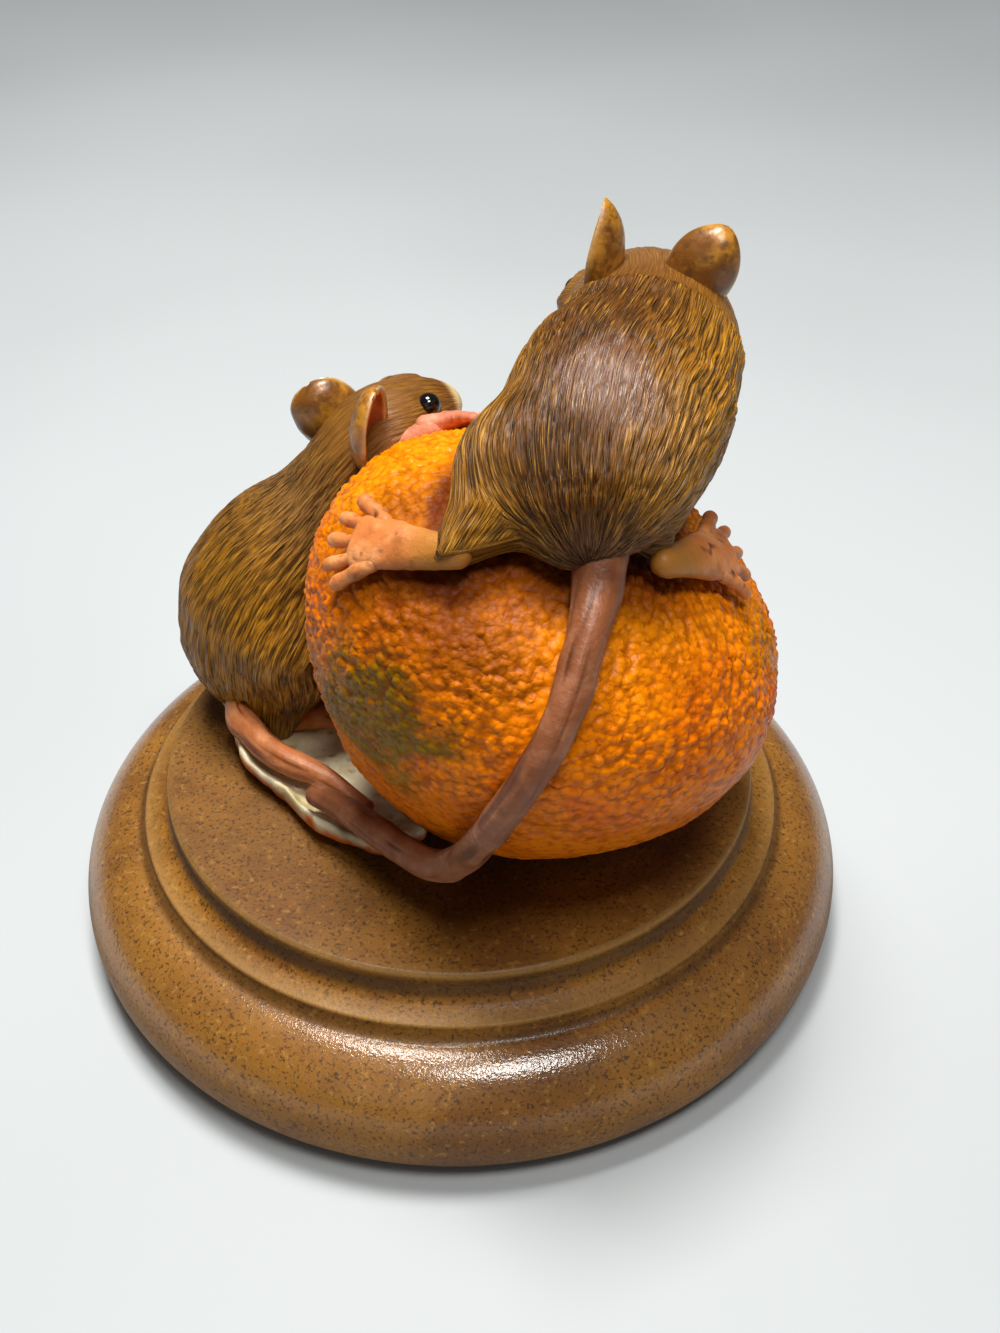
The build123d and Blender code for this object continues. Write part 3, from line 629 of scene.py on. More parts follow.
def bodyDistance(mouse, points):
    # nearest of the ellipsoids along the spine, blended with haunches and legs made of round balls
    middle, left, back, along, halves = spineFrames(mouse, np.linspace(0, 1, furForm["slices"]))
    best = np.full(points.shape[:-1], 1e3)
    for k in range(len(middle)):
        w, h = halves[k]
        away = points - middle[k]
        local = np.stack([away @ left[k], away @ back[k], away @ along[k]], -1)
        radii = np.array([w, h, furForm["slice"] * min(w, h)])
        near, far = np.linalg.norm(local / radii, axis=-1), np.linalg.norm(local / radii**2, axis=-1)
        best = np.minimum(best, near * (near - 1) / np.maximum(far, 1e-6))
    for side, haunch in mouse["haunches"].items():
        ankle = mouse["soles"][side][0] + np.array([0, 0, footForm["thickness"] * footForm["lift"]])
        ball = np.linalg.norm(points - haunch, axis=-1) - mouse["haunchRadii"][side]
        leg = np.full(points.shape[:-1], 1e3)
        for share in np.linspace(0, 1, furForm["legBalls"]):
            start, end = mouse["legRadii"][side]
            radius = start * (1 - share) + end * share
            spot = haunch + (ankle - haunch) * share
            leg = np.minimum(leg, np.linalg.norm(points - spot, axis=-1) - radius)
        best = blendMin(best, blendMin(ball, leg, furForm["blend"]), furForm["blend"])
    return best


def bodyRays(mouse, share, turn):
    # rays from the spine: a fan behind its first place, straight out along it, and a fan before its last
    first, last = mouse["fan"]
    rear, straight, front = furForm["rearFan"], furForm["straight"], furForm["frontFan"]
    spineShare = np.clip((share - rear) / straight, 0, 1) * (last - first) + first
    tilt = -np.clip(1 - share / rear, 0, 1) * np.pi / 2 + np.clip((share - (1 - front)) / front, 0, 1) * np.pi / 2
    middle, left, back, along, _ = spineFrames(mouse, spineShare)
    angle = (turn - 0.25) * 2 * np.pi
    out = left[:, None] * np.cos(angle)[None, :, None] + back[:, None] * np.sin(angle)[None, :, None]
    rays = out * np.cos(tilt)[:, None, None] + along[:, None] * np.sin(tilt)[:, None, None]
    return middle, rays, spineShare


def bodyReach(mouse):
    # length of each ray up to the blended skin, stepped outwards by the remaining distance
    n, m = furForm["coarse"]
    share, turn = np.linspace(0, 1, n), np.linspace(0, 1, m, endpoint=False)
    middle, rays, _ = bodyRays(mouse, share, turn)
    reach = np.full((n, m), furForm["startReach"])
    for _ in range(furForm["rounds"]):
        gap = bodyDistance(mouse, middle[:, None] + rays * reach[..., None])
        reach = np.clip(reach - gap * furForm["stride"], *furForm["reachRange"])
    return reach


def finerGrid(coarse, rows, columns):
    # cubic curves through a coarse grid, closed round the second way
    m = coarse.shape[1]
    down = curveThrough(coarse, np.linspace(0, 1, rows))
    wrapped = np.concatenate([down[:, -2:], down, down[:, :3]], 1)
    place = (np.arange(columns) / columns * m + 2) / (m + 4)
    return curveThrough(wrapped.T, place).T


def legLines(mouse, skin):
    # turn round the nearer leg's axis, from 0 to 1, and the length along it
    turns, lengths, gaps = [], [], []
    for side, haunch in mouse["haunches"].items():
        axis = unit(mouse["soles"][side][0] - haunch)
        first = unit(np.cross(axis, np.array([0.3, 0.5, 0.8])))
        away = skin - haunch
        turns.append(np.arctan2(away @ np.cross(axis, first), away @ first) / (2 * np.pi) + 0.5)
        lengths.append(away @ axis)
        gaps.append(np.linalg.norm(away - (away @ axis)[..., None] * axis, axis=-1))
    nearer = gaps[0] < gaps[1]
    return np.where(nearer, *turns), np.where(nearer, *lengths)


def furBody(mouse, marksOf):
    # the blended skin, with strands and wisps of fur as noise laid along the body, lumps and lids
    rows, columns = furForm["rows"], furForm["columns"]
    reach = finerGrid(bodyReach(mouse), rows, columns)
    share, turn = np.linspace(0, 1, rows), np.arange(columns) / columns
    middle, rays, spineShare = bodyRays(mouse, share, turn)  # the seam runs along the belly
    skin = middle[:, None] + rays * reach[..., None]
    normals = gridNormals(skin)
    length = np.concatenate([np.zeros((1, columns)), np.cumsum(np.linalg.norm(np.diff(skin, axis=0), axis=-1), 0)])
    length = length.mean(1)[:, None] + 0 * reach
    around = turn[None] + 0 * reach
    seed = mouse["seed"]
    wander = (roundNoise(around, length / 9, 6, seed) - 0.5) * 0.022
    wander = wander + (roundNoise(around, length / 3, 34, seed + 1) - 0.5) * 0.004
    laid = np.clip(around + wander * np.clip(np.minimum(around, 1 - around) / 0.05, 0, 1), 0, 0.9999)
    strand = np.abs(2 * roundNoise(laid, length / 5.0, furForm["strandCount"], seed + 2) - 1)
    wisp = np.abs(2 * roundNoise(laid, length / 3.0, furForm["wispCount"], seed + 3) - 1)
    strand, wisp = np.clip(strand * 2.2, 0, 1) ** 0.7, np.clip(wisp * 2.0, 0, 1) ** 0.7
    marks = marksOf(skin, spineShare[:, None] + 0 * reach, around)
    relief = marks.pop("relief")
    lift = marks.pop("lift")
    ring, ringWidth = furForm["lidRing"]
    for side, lid in mouse["lids"].items():  # a raised lid round each bead
        low, high = (np.array(corner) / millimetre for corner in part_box(f"{mouse['name']}_{side}_eye"))
        lift = lift + lid * np.exp(-((np.linalg.norm(skin - (low + high) / 2, axis=-1) - ring) / ringWidth) ** 2)
    spread = np.linalg.norm(skin - np.roll(skin, 1, 1), axis=-1)
    line = relief + 0 * reach
    leg = step(0.27, 0.42, spread)  # where the body's lines lie far apart, lines along the legs take over
    relief = relief * (1 - 0.8 * leg)
    legTurn, legLength = legLines(mouse, skin)
    groove = 0.62 * strand + 0.38 * wisp
    lumps = (softNoise(skin / 4.0, seed + 5) - 0.5) * furForm["lumps"]
    height = relief * (furForm["strand"] * (strand - 0.8) + furForm["wisp"] * (wisp - 0.8)) + lumps + lift
    skin = skin + normals * height[..., None]
    groove = 1 - relief * (1 - groove)
    makePiece(mouse["name"] + "_fur", [skin], fur, [mouse["name"] + "_body"], "fur",
              groove=[groove], line=[line], hairTurn=[laid], hairLength=[length],
              leg=[leg], legTurn=[legTurn], legLength=[legLength],
              **{name: [values] for name, values in marks.items()})


# a painted sheen on the back, where the fur is also smoother and glossier, and the fur by the tail
upperBack = {"sheen": (17.3, -20.0, 93.8), "sheenReach": (6.5, 3.0), "rootReach": (9.0, 3.0)}


def upperMarks(skin, spineShare, around):
    # gold flanks, a brown back, a collar at the nape, pale brown on the head and belly and a dark rump
    upward = -np.cos(2 * np.pi * around)
    cloud = softNoise(skin / 6.0, 3)
    head = step(0.475, 0.51, spineShare)
    flank = step(0.85, 0.25, upward) * step(-0.75, -0.2, upward)
    rightFlank = np.exp(-((around - 0.67) / 0.11) ** 2)
    gold = np.clip(flank * (0.45 + 0.9 * (cloud - 0.25)) + 0.5 * rightFlank, 0, 1) * (1 - 0.6 * head)
    grey = step(-0.1, -0.75, upward) * 0.4 + 0.45 * step(0.47, 0.66, spineShare) + step(0.12, 0.0, spineShare) * 0.3
    dark = np.clip(step(0.30, 0.20, spineShare) * step(0.45, 0.7, cloud) * 0.25, 0, 1)
    # a painted sheen: a paler grey-brown patch standing for a reflection on the back
    gap = np.linalg.norm(skin - np.array(upperBack["sheen"]), axis=-1)
    sheen = step(*upperBack["sheenReach"], gap + (cloud - 0.5) * 5)
    relief = 1 - 0.7 * head - 0.25 * step(0.9, 1.0, spineShare) - 0.45 * sheen
    lift = 0.45 * np.exp(-((spineShare - 0.475) / 0.016) ** 2) - 0.4 * np.exp(-((spineShare - 0.505) / 0.014) ** 2)
    return {"gold": gold, "grey": np.clip(grey, 0, 1), "dark": dark, "sheen": 0.75 * sheen,
            "root": 0.9 * step(*upperBack["rootReach"], tailGap(skin)), "muzzle": 0 * gold,
            "nose": step(0.975, 0.99, spineShare), "relief": relief, "lift": lift * step(-0.3, 0.4, upward)}


def lowerMarks(skin, spineShare, around):
    # gold with a painted highlight band along the near flank, a painted highlight on the neck, a smoother head, a cream
    # muzzle, a brown nose and painted shade at the bottom
    upward = -np.cos(2 * np.pi * around)
    cloud = softNoise(skin / 6.0, 8)
    head = step(0.54, 0.66, spineShare)
    lit = np.exp(-((around - 0.66) / 0.13) ** 2) * step(0.62, 0.40, spineShare)  # a painted highlight: a brighter band on the near flank
    gold = np.clip(0.28 + 0.45 * (cloud - 0.35) + 0.45 * lit, 0, 1) * (1 - 0.45 * head)
    # a painted highlight on the back of the neck, carried on the grey mark beside the paler throat
    neckHighlight = np.exp(-((spineShare - 0.50) / 0.10) ** 2) * 0.6
    grey = np.clip(step(0.2, -0.7, upward) * head * 0.8 + step(-0.3, 0.5, upward) * neckHighlight, 0, 1)
    # painted shade: darker at the bottom of the body; the cloud adds a few darker patches
    dark = np.clip(step(0.12, 0.0, spineShare) * 0.7 + step(0.62, 0.8, cloud) * 0.15, 0, 1)
    muzzle = step(0.905, 0.945, spineShare) * step(0.99, 0.965, spineShare)
    relief = 1 - 0.62 * head - 0.3 * step(0.88, 0.95, spineShare)
    return {"gold": gold, "grey": grey, "dark": dark, "sheen": 0 * gold, "root": 0 * gold, "muzzle": 0.9 * muzzle,
            "nose": step(0.972, 0.99, spineShare), "relief": relief, "lift": 0 * gold}


earForm = {"length": 13.0, "width": 10.0, "cup": 3.4, "wall": 1.0, "rows": 64, "around": 96, "lumps": 0.35, "rim": 0.16}


def ear(mouse, side):
    # half of a hollow egg: an outer arc and an inner arc, carried along the ear's length
    root, alongShares, openShares, (lengthShare, widthShare), point = mouse["ears"][side]
    along = unit(np.array(alongShares, float))
    opening = np.array(openShares, float)
    opening = unit(opening - opening @ along * along)
    across = np.cross(opening, along)
    half, long = earForm["width"] * widthShare / 2, earForm["length"] * lengthShare / 2
    cup, wall = earForm["cup"], earForm["wall"]
    middle = placeOf(mouse, root) + along * (long - wall)
    tilt = np.linspace(-np.pi / 2, np.pi / 2, earForm["rows"] + 2)[1:-1]
    bend = np.linspace(0, 2 * np.pi, earForm["around"], endpoint=False)
    outer = bend <= np.pi
    reach = np.sin(tilt)[:, None]
    girth = np.cos(tilt)[:, None] ** np.where(reach > 0, point, 0.8)
    wide = np.where(outer, half, half - wall) * np.cos(bend)
    deep = -np.where(outer, cup, cup - wall) * np.abs(np.sin(bend))
    inset = np.where(outer, 1.0, 1 - 0.8 * wall / long)
    grid = (middle + along * (reach * long * inset)[..., None]
            + across * (girth * wide)[..., None] + opening * (girth * deep)[..., None])
    lumps = softNoise(grid / 2.5, mouse["seed"] + 21) - 0.5
    grid = grid + gridNormals(grid) * lumps[..., None] * earForm["lumps"]
    inside = np.broadcast_to(np.where(outer, 0.0, 1.0), grid.shape[:2])
    edgeGap = np.minimum(np.abs(bend - np.pi), np.minimum(bend, 2 * np.pi - bend))
    rim = np.exp(-(edgeGap / earForm["rim"]) ** 2)
    rim = np.broadcast_to(rim, grid.shape[:2]) * step(-0.5, 0.1, reach)
    # painted shade: darker towards the ear's root, where it meets the head
    dark = step(-0.35, -0.9, reach) + 0 * rim
    makePiece(f"{mouse['name']}_{side}_earShell", [grid], earSkin, [f"{mouse['name']}_{side}_ear"], "ear_skin",
              inside=[inside], rim=[rim], dark=[dark])


def eye(mouse, side):
    # a round bead at the node's place
    node = f"{mouse['name']}_{side}_eye"
    low, high = (np.array(corner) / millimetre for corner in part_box(node))
    middle, radius = (low + high) / 2, (high[0] - low[0]) / 2
    latitude = np.linspace(-np.pi / 2, np.pi / 2, 34)[1:-1]
    longitude = np.linspace(0, 2 * np.pi, 48, endpoint=False)
    flat = np.cos(latitude)[:, None] * np.stack([np.cos(longitude), np.sin(longitude)])[:, None]
    ball = np.stack([flat[0], flat[1], np.sin(latitude)[:, None] + 0 * flat[0]], -1)
    makePiece(f"{mouse['name']}_{side}_bead", [middle + ball * radius], bead, [node], "eye_black")


footForm = {"width": 7.0, "thickness": 3.4, "digits": 5, "fan": 60.0, "palm": 1.12, "digitStart": 0.60, "lift": 0.46}
pawForm = {"length": 9.0, "width": 5.2, "thickness": 2.8, "digits": 4, "fan": 44.0, "palm": 1.0, "digitStart": 0.52, "lift": 0.46,
           "armRadius": 3.2, "wristRadius": 1.7, "cuff": 8.5}
palmTable = [(-0.02, 0.25, 0.48), (0.12, 0.30, 0.50), (0.28, 0.36, 0.50),  # along, half width, half thickness
             (0.45, 0.44, 0.46), (0.60, 0.48, 0.38), (0.68, 0.46, 0.32)]


def digitsAndPalm(heel, toes, normal, form):
    # a palm carried from the heel, then tapered round digits in a fan
    forward = unit(toes - heel)
    normal = unit(normal - normal @ forward * forward)
    aside = np.cross(normal, forward)
    length, width, thick = form["length"], form["width"], form["thickness"]
    rows = curveThrough(palmTable, np.linspace(0, 1, 40))
    lift = thick * form["lift"]
    path = heel + forward * (rows[:, :1] * length * form["palm"]) + normal * lift
    grids = [tubeRows(path, rows[:, 1:] * [width, thick], normal, 56)]
    for index in range(form["digits"]):
        side = index / (form["digits"] - 1) - 0.5
        turn = np.radians(form["fan"] * side)
        run = length * (1 - form["digitStart"]) * (1 - side * side)
        t = np.linspace(0, 1, 26)[:, None]
        start = heel + forward * length * form["digitStart"] + aside * width * side * 0.76 + normal * lift
        line = start + (forward * np.cos(turn) + aside * np.sin(turn)) * run * t - normal * lift * (0.1 * t + 0.4 * t * t)
        tip, knuckle = np.exp(-((t - 0.88) / 0.12) ** 2), np.exp(-((t - 0.45) / 0.1) ** 2)
        size = width * (0.132 - 0.022 * t + 0.020 * tip + 0.014 * knuckle)
        grids.append(tubeRows(line, np.concatenate([size, size], 1), normal, 24))
    return grids


def skinMarks(grids, seed, cuffPlace, cuffReach):
    # small lumps on the skin, the fold mark of its hollows and a furry cuff near a place
    done, folds, cuffs = [], [], []
    for rows in grids:
        grain = softNoise(rows / 0.8, seed)
        lump = softNoise(rows / 2.2, seed + 1)
        rows = rows + gridNormals(rows) * (0.16 * (grain - 0.5) + 0.30 * (lump - 0.5))[..., None]
        done.append(rows)
        folds.append(np.clip(0.15 + 1.3 * grain, 0, 1))
        cuffs.append(step(cuffReach, cuffReach * 0.4, np.linalg.norm(rows - cuffPlace, axis=-1)))
    return done, {"fold": folds, "cuff": cuffs}


def hindFoot(mouse, side):
    # palm and toes on the sole's line, square to the orange or to the plinth
    heel, toes = mouse["soles"][side]
    middle = (heel + toes) / 2
    normal = unit(middle - orangeMiddle) if mouse["name"] == "upper_mouse" else np.array([0, 0, 1.0])
    grids = digitsAndPalm(heel, toes, normal, {**footForm, "length": mouse["footLength"]})
    grids, marks = skinMarks(grids, mouse["seed"] + 31, heel, 0.5 * mouse["footLength"])
    node = f"{mouse['name']}_{side}_hind_foot"
    makePiece(node + "_skin", grids, footSkin, [node], "skin", **marks)


def forepaw(mouse, side):
    # an arm that tapers from the shoulder over the elbow to the wrist, with a palm and fingers on the orange
    shoulderShares, wristShares, tipShares = mouse["paws"][side]
    shoulder = placeOf(mouse, shoulderShares)
    wrist = overOrange(*placeOf(mouse, (*wristShares, 0))[:2])
    tips = overOrange(*placeOf(mouse, (*tipShares, 0))[:2])
    normal = unit(wrist - orangeMiddle)
    grids = digitsAndPalm(wrist, tips, normal, pawForm)
    arm, thin = pawForm["armRadius"], pawForm["wristRadius"]
    elbow = (shoulder + wrist) / 2 + normal * thin
    end = wrist + unit(tips - wrist) * thin + normal * thin / 2
    t = np.linspace(0, 1, 40)
    path = curveThrough([shoulder, elbow, end], t)
    size = (arm + (thin - arm) * t)[:, None]
    grids.append(tubeRows(path, np.concatenate([size, size], 1), normal, 40))
    grids, marks = skinMarks(grids, mouse["seed"] + 37, shoulder, pawForm["cuff"])
    node = f"{mouse['name']}_{side}_forepaw"
    makePiece(node + "_skin", grids, pawSkin, [node], "skin", **marks)


tailForm = {"rows": 330, "around": 96, "capRows": 8, "ridges": 22, "ridge": 0.16, "rings": 5, "ring": 0.30, "cuff": (6, 1)}
upperTailForm = {  # route in bearings from the orange's middle, with the height as a share of the radius
    "radius": 3.0,
    "route": [
        (-58.5, 63.5, 1.95), (-70.7, 50.9, 0.80), (-78.2, 41.5, 0.70), (-83.1, 32.7, 0.65), (-88.0, 24.1, 0.65),
        (-92.7, 16.2, 0.65), (-98.1, 5.2, 0.66), (-103.5, -6.5, 0.68), (-109.2, -19.7, 0.74), (-116.5, -28.0, 1.05),
        (-127.1, -32.4, 1.12), (-141.2, -35.0, 1.14), (-156.9, -34.8, 1.58), (-171.0, -33.0, 2.75),
    ],
    "girth": [1.12, 0.94, 0.79, 0.74, 0.72, 0.71, 0.69, 0.67, 0.67, 0.67, 0.67, 0.66, 0.65, 0.56],
}
lowerTailForm = {  # route in shares of the lower mouse's sizes
    "radius": 2.1,
    "route": [
        (0.270, -0.140, 0.172), (0.440, -0.145, 0.147), (0.560, -0.075, 0.141), (0.680, 0.003, 0.141),
        (0.793, 0.127, 0.139), (0.868, 0.247, 0.132), (0.932, 0.333, 0.121), (1.050, 0.470, 0.098),
    ],
    "girth": [1.00, 0.98, 0.95, 0.92, 0.88, 0.80, 0.72, 0.55],
}


def tail(name, points, radii, side, material, seed):
    # a round rod along a smooth route, with fine lengthwise ridges and faint lumps
    share = np.linspace(0, 1, tailForm["rows"])
    path = curveThrough(points, share)
    size = curveThrough(np.asarray(radii, float)[:, None], share)
    rows = tubeRows(path, np.concatenate([size, size], 1), side(path), tailForm["around"], tailForm["capRows"])
    n, m = rows.shape[:2]
    steps = np.linalg.norm(np.diff(rows.mean(1), axis=0), axis=-1)
    length = np.concatenate([[0], np.cumsum(steps)])[:, None] + np.zeros((n, m))
    around = np.arange(m)[None] / m + 0 * length
    ridge = roundNoise((around + 0.02 * np.sin(length / 5)) % 1.0, length / 7, tailForm["ridges"], seed)
    lump = roundNoise(around, length / 3.0, tailForm["rings"], seed + 1)
    height = tailForm["ridge"] * (ridge - 0.5) + tailForm["ring"] * (lump - 0.5)
    fade = np.clip(np.minimum(length, length[-1] - length) / 3, 0, 1)
    rows = rows + gridNormals(rows) * (height * fade)[..., None]
    makePiece(name + "_skin", [rows], material, [name], "skin", fold=[np.clip(0.1 + 1.2 * ridge, 0, 1)],
              cuff=[0.6 * step(*tailForm["cuff"], length)])


orangePatches = {"green": (-135.0, 17.0, 13.5), "greenEdge": (-15.7, 16.3, 9), "pink": (-50.5, 8.0, 15),
                 "pale": (-147.0, 18.0, 8)}  # bearing from the orange's middle and radius


def orange():
    # the egg's skin pushed in and out by lumps, round pebbles and a few pits, smoother by the tail and at the lower front
    rows, columns = orangeForm["rows"], orangeForm["columns"]
    latitude = np.radians(np.linspace(89.4, -89.4, rows))
    longitude = np.linspace(0, 2 * np.pi, columns, endpoint=False)
    out = orangeForm["radius"] * np.cos(latitude) * (1 + orangeForm["shoulder"] * np.sin(latitude))
    along = orangeForm["halfHeight"] * np.sin(latitude)
    ring = orangeSide * np.cos(longitude)[:, None] + orangeBack * np.sin(longitude)[:, None]
    skin = orangeMiddle + ring[None] * out[:, None, None] + orangeAxis * along[:, None, None]
    normals = gridNormals(skin)
    wander = np.stack([softNoise(skin / 2.0, seed) for seed in (61, 62, 63)], -1) - 0.5
    first, second = pebbleNoise((skin + wander * 0.9) / orangeForm["pebble"], 71)
    pebble = 0.55 * np.clip((second - first) * 2.2, 0, 1) + 0.45 * np.clip(1 - (first / 0.75) ** 2, 0, 1)
    lump = softNoise(skin / 7.0, 64) - 0.5
    coarse = softNoise(skin / 3.4, 65)
    pits = step(0.22, 0.10, pebbleNoise(skin / 5.2, 81)[0])
    byTail = step(4.2, 2.2, tailGap(skin)) * 0.65
    lowFront = step(60, 38, skin[..., 2]) * step(0.2, -0.4, normals[..., 1]) * step(-22, -8, skin[..., 0]) * 0.8
    smooth = np.maximum(byTail, lowFront)
    strength = (0.55 + 0.9 * coarse) * (1 - smooth)
    height = orangeForm["pebbleHeight"] * strength * (pebble - 0.6) + orangeForm["lump"] * lump
    height = height + 0.3 * (coarse - 0.5) - 0.35 * pits - orangeForm["inset"]
    seat = np.clip((skin[..., 2] - plateHeight) / 2.0, 0, 1)
    skin = skin + normals * (height * seat)[..., None]
    skin[..., 2] = np.maximum(skin[..., 2], plateHeight)
    cloud = softNoise(skin / 5.0, 66)
    fleck = softNoise(skin / 1.6, 67)

    def near(patch):
        azimuth, elevation, radius = orangePatches[patch]
        gap = np.linalg.norm(skin - onBearing(azimuth, elevation, 0.0), axis=-1)
        return step(radius, radius * 0.35, gap + (cloud - 0.5) * 9)  # the edge wavers

    # painted light: lighter where the rind faces up, and painted shade where it faces down
    bright = step(0.35, 0.95, normals[..., 2]) * (0.35 + 0.5 * cloud)
    shade = step(0.0, -0.75, normals[..., 2]) * 0.75
    green = np.clip(near("green") * (0.2 + 1.7 * fleck) + near("greenEdge") * 0.7 * fleck, 0, 0.9)
    pink = np.clip(near("pink") * step(0.5, 0.75, fleck) * 0.55, 0, 1)
    pale = np.clip(near("pale") * (0.2 + 0.8 * fleck) * 0.5, 0, 0.6)
    # painted shadow on the rind, strongest close to the upper mouse's body and below its rump
    gap = bodyDistance(upperMouse, skin)
    stain = np.clip(step(8.0, 2.0, gap) * (0.6 + 0.8 * cloud), 0, 0.92)
    shadowBelowRump = step(18.0, 7.0, gap) * step(0.2, -0.2, normals[..., 1]) * step(14, 4, skin[..., 0])  # painted shadow below the rump, in brown
    stain = np.maximum(stain, shadowBelowRump * (0.40 + 0.5 * cloud))
    makePiece("orange_rind", [skin], rind, ["orange"], "orange_rind", pebble=[pebble], bright=[bright], shade=[shade],
              green=[green], pink=[pink], pale=[pale], stain=[stain], rough=[np.clip(strength, 0, 1)])


def tailGap(points):
    # distance to the upper tail's middle line
    line = curveThrough(upperTailPoints, np.linspace(0, 1, 60))
    best = np.full(points.shape[:-1], 99.0)
    for spot in line:
        best = np.minimum(best, np.linalg.norm(points - spot, axis=-1))
    return best


def peel():
    # a dish of even thickness inside a torn outline: upper face, edge, then under face
    upperRows, underRows = peelForm["upperRows"], peelForm["underRows"]
    angle = np.linspace(0, 2 * np.pi, peelForm["columns"], endpoint=False)
    table = np.array(peelForm["outline"])
    bearings = np.radians(np.concatenate([table[-3:, 1] - 360, table[:, 1], table[:3, 1] + 360]))
    reach = np.interp(angle, bearings, np.concatenate([table[-3:, 0], table[:, 0], table[:3, 0]]))
    reach = reach * (1 + 0.05 * (roundNoise(angle / (2 * np.pi), 0 * angle, 28, 91) - 0.5)
                     + 0.05 * (roundNoise(angle / (2 * np.pi), 0 * angle, 64, 92) - 0.5))
    upper, under = np.linspace(0.02, 0.97, upperRows), np.linspace(0.97, 0.02, underRows)
    inward = np.concatenate([upper, [0.99, 1.0, 1.0, 0.99], under])
    depth = np.concatenate([np.zeros(upperRows), [0.12, 0.35, 0.7, 0.92], np.ones(underRows)])
    x = inward[:, None] * reach * peelForm["halfWidth"] * np.cos(angle)
    y = inward[:, None] * reach * peelForm["halfLength"] * np.sin(angle)
    wide, long = peelForm["halfWidth"] * peelForm["spread"], peelForm["halfLength"] * peelForm["spread"]
    fall = peelForm["dish"] * np.sqrt(np.clip(1 - (x / wide) ** 2 - (y / long) ** 2, 0, 1))
    z = peelForm["thickness"] * (1 - depth[:, None]) - fall
    grid = peelMiddle + peelAcross * x[..., None] + peelAlong * y[..., None] + np.array([0, 0, 1.0]) * z[..., None]
    lump = softNoise(grid / 3.5, 93) - 0.5
    pit = step(0.34, 0.12, pebbleNoise(grid / 1.9, 94)[0]) * (depth[:, None] < 0.2)
    ridge = softNoise(grid / 1.2, 96) - 0.5
    edge = step(0.80, 0.97, inward)[:, None]
    grid[..., 2] += (1 - depth[:, None]) * (0.9 * lump + 0.4 * ridge - 0.22 * pit + edge * (0.5 + 1.2 * lump))
    rindShare = step(0.55, 0.95, depth[:, None] + 0.25 * edge + 1.1 * (softNoise(grid / 1.8, 95) - 0.5))
    makePiece("peel_pith", [grid], pith, ["peel"], "pith", pit=[0.4 * pit], rind=[rindShare])


plinthForm = {"foot": 53.2, "widest": 56.0, "midHeight": 7.0, "rollTop": (47.7, 17.0), "coveTop": (46.1, 18.6),
              "ledgeSide": (46.1, 19.0), "ledgeEdge": (45.7, 19.4), "ledgeBack": (43.4, 20.0), "coveStart": (41.9, 23.0),
              "bandFoot": (42.3, 23.0), "bandTop": (42.3, 23.9), "topEdge": (41.6, 24.6), "under": 0.8, "columns": 420,
              "wornRings": [(42.2, 0.8, 23.6, 24.2), (45.9, 0.6, 18.9, 19.3)],  # radius, reach, height from and to
              "hollows": [(46.9, 17.6, 1.2, 0.2), (42.4, 21.6, 1.4, 0.3)]}  # radius, height, reach from and to


def tangentArc(start, heading, end, count):
    # points of the circle that leaves start along a heading and passes through end
    start, heading, end = (np.array(v, float) for v in (start, heading, end))
    normal = np.array([-heading[1], heading[0]])
    chord = end - start
    radius = chord @ chord / (2 * chord @ normal)
    centre = start + normal * radius
    first = np.arctan2(*(start - centre)[::-1])
    last = np.arctan2(*(end - centre)[::-1])
    turn = (last - first + np.pi) % (2 * np.pi) - np.pi
    angle = first + turn * np.linspace(0, 1, count)
    return centre + abs(radius) * np.stack([np.cos(angle), np.sin(angle)], -1)


def plinth():
    # a turned profile carried round the plinth's axis
    f = plinthForm
    widest = (f["widest"], f["midHeight"])
    flatTop = np.stack([np.linspace(f["topEdge"][0], 0.4, 40), np.full(40, f["topEdge"][1])], -1)
    flatLow = np.stack([np.linspace(0.4, f["foot"], 30), np.full(30, f["under"])], -1)
    profile = np.concatenate([
        flatLow, tangentArc(widest, (0, -1), (f["foot"], f["under"]), 24)[::-1],
        tangentArc(widest, (0, 1), f["rollTop"], 40)[1:],
        tangentArc(f["coveTop"], (0, -1), f["rollTop"], 12)[::-1][1:],
        [f["ledgeSide"]], tangentArc(f["ledgeSide"], (0, 1), f["ledgeEdge"], 6)[1:],
        [f["ledgeBack"]], tangentArc(f["coveStart"], (0, -1), f["ledgeBack"], 14)[::-1][1:],
        [f["bandFoot"], f["bandTop"]], tangentArc(f["bandTop"], (0, 1), f["topEdge"], 8)[1:], flatTop[1:],
    ])
    angle = np.linspace(0, 2 * np.pi, f["columns"], endpoint=False)
    grid = np.stack([profile[:, :1] * np.cos(angle), profile[:, :1] * np.sin(angle), profile[:, 1:] + 0 * angle], -1)
    radius, height = profile[:, :1] + 0 * angle, profile[:, 1:] + 0 * angle
    # painted highlights: lighter rings on the top edge and on the ledge's edge
    worn = sum(step(reach, 0.2, np.abs(radius - ring)) * step(low, high, height) for ring, reach, low, high in f["wornRings"])
    # painted shade: darker in the cove above the roll and the cove under the band
    hollow = sum(step(far, near, np.hypot(radius - ring, height - level)) for ring, level, far, near in f["hollows"])
    # the top disc is made darker too, carried on the same mark
    top = step(24.3, 24.5, height) * 0.28
    polish = 0.02 + 0.79 * step(17.5, 16.0, height) * step(9.0, 13.0, height)  # a clear coat on the upper half of the roll
    cloud = softNoise(grid / 9.0, 101)
    makePiece("plinth_turned", [grid], varnish, ["plinth"], "plinth_varnish", worn=[np.clip(0.55 * worn, 0, 1)],
              polish=[polish], hollow=[np.clip(0.6 * hollow + top * (0.6 + cloud), 0, 1)])


for mouse in (upperMouse, lowerMouse):
    setMouse(mouse)
route = np.array(upperTailForm["route"])
upperTailPoints = onBearing(route[:, 0], route[:, 1], route[:, 2] * upperTailForm["radius"])
lowerTailPoints = placeOf(lowerMouse, lowerTailForm["route"])

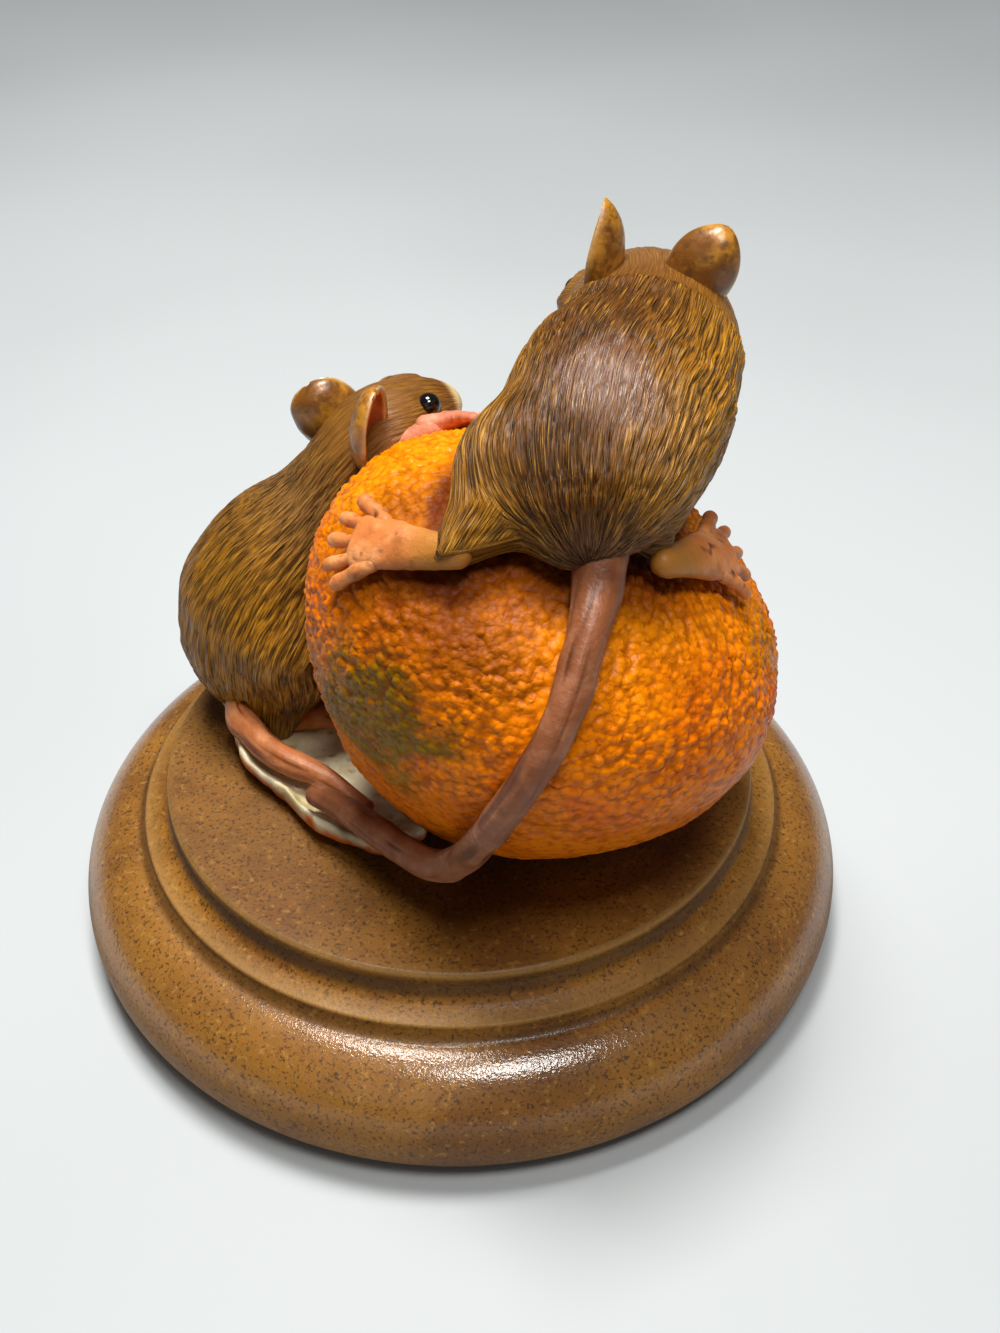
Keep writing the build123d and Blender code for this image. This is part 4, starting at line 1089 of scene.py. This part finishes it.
plinth()
peel()
orange()
furBody(upperMouse, upperMarks)
furBody(lowerMouse, lowerMarks)
for mouse in (upperMouse, lowerMouse):
    for side in ("left", "right"):
        ear(mouse, side)
        eye(mouse, side)
        hindFoot(mouse, side)
        forepaw(mouse, side)
tail("upper_mouse_tail", upperTailPoints, np.array(upperTailForm["girth"]) * upperTailForm["radius"],
     lambda path: path - orangeMiddle, upperTailSkin, 111)
tail("lower_mouse_tail", lowerTailPoints, np.array(lowerTailForm["girth"]) * lowerTailForm["radius"],
     lambda path: np.array([0, 0, 1.0]) + 0 * path, lowerTailSkin, 121)

felt, steel = feltPaint(), steelPaint()
keptNodes = {"felt_pad": felt, "fixing_screws": steel, "screw_washers": steel, "upper_mouse_dowel": steel}
for name, material in keptNodes.items():
    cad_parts[name].data.materials.clear()
    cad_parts[name].data.materials.append(material)
print("CAD nodes painted")


# floor, light and camera

def floorPaint():
    paint = Paint("paleFloor", 0.6)
    paint.colour(paint.mix(tint(186, 192, 196), tint(178, 184, 188), paint.between(paint.noise(3, 2), 0.4, 0.6)))
    return paint.material


floorMesh = bpy.data.meshes.new("floor")
half = 4  # metres
floorMesh.from_pydata([(-half, -half, 0), (half, -half, 0), (half, half, 0), (-half, half, 0)], [], [(0, 1, 2, 3)])
floorMesh.materials.append(floorPaint())
floor = bpy.data.objects.new("floor", floorMesh)
scene.collection.objects.link(floor)

roomForm = {"colour": (0.95, 0.97, 1.0, 1), "strength": 0.09}
world = bpy.data.worlds.new("softRoom")
scene.world = world
world.use_nodes = True
background = world.node_tree.nodes["Background"]
background.inputs["Color"].default_value = roomForm["colour"]
background.inputs["Strength"].default_value = roomForm["strength"]

lampTarget, lampColour = (0, 0, 0.05), (1.0, 0.97, 0.92)
lampForm = {"overhead": ((-0.05, 0.11, 0.69), (0.22, 0.22), 6.2),  # place, size, watts
            "glint": ((0.08, -0.23, 0.64), (0.22, 0.15), 2.3),
            "front": ((-0.30, -0.8, 0.60), (0.6, 0.6), 0.35)}
for name, (place, size, power) in lampForm.items():
    lamp = bpy.data.lights.new(name, "AREA")
    lamp.shape, lamp.size, lamp.size_y = "RECTANGLE", *size
    lamp.energy, lamp.color = power, lampColour
    holder = bpy.data.objects.new(name, lamp)
    holder.location = place
    holder.rotation_euler = (Vector(lampTarget) - Vector(place)).to_track_quat("-Z", "Y").to_euler()
    scene.collection.objects.link(holder)

cameraForm = {"place": (0.0, -0.1643, 0.1705), "forward": (0.0281, 0.7824, -0.6221),
              "right": (0.9993, -0.0381, -0.0028), "up": (0.0258, 0.6216, 0.7829), "lens": 40.51, "sensor": 36}
camera = bpy.data.cameras.new("camera")
camera.lens, camera.sensor_width, camera.sensor_fit = cameraForm["lens"], cameraForm["sensor"], "AUTO"
camera.clip_start = 0.01
viewer = bpy.data.objects.new("camera", camera)
turned = Matrix((cameraForm["right"], cameraForm["up"], [-v for v in cameraForm["forward"]])).transposed().to_4x4()
viewer.matrix_world = Matrix.Translation(cameraForm["place"]) @ turned
scene.collection.objects.link(viewer)
scene.camera = viewer
scene.view_settings.view_transform = "Standard"
print("floor, light and camera set")
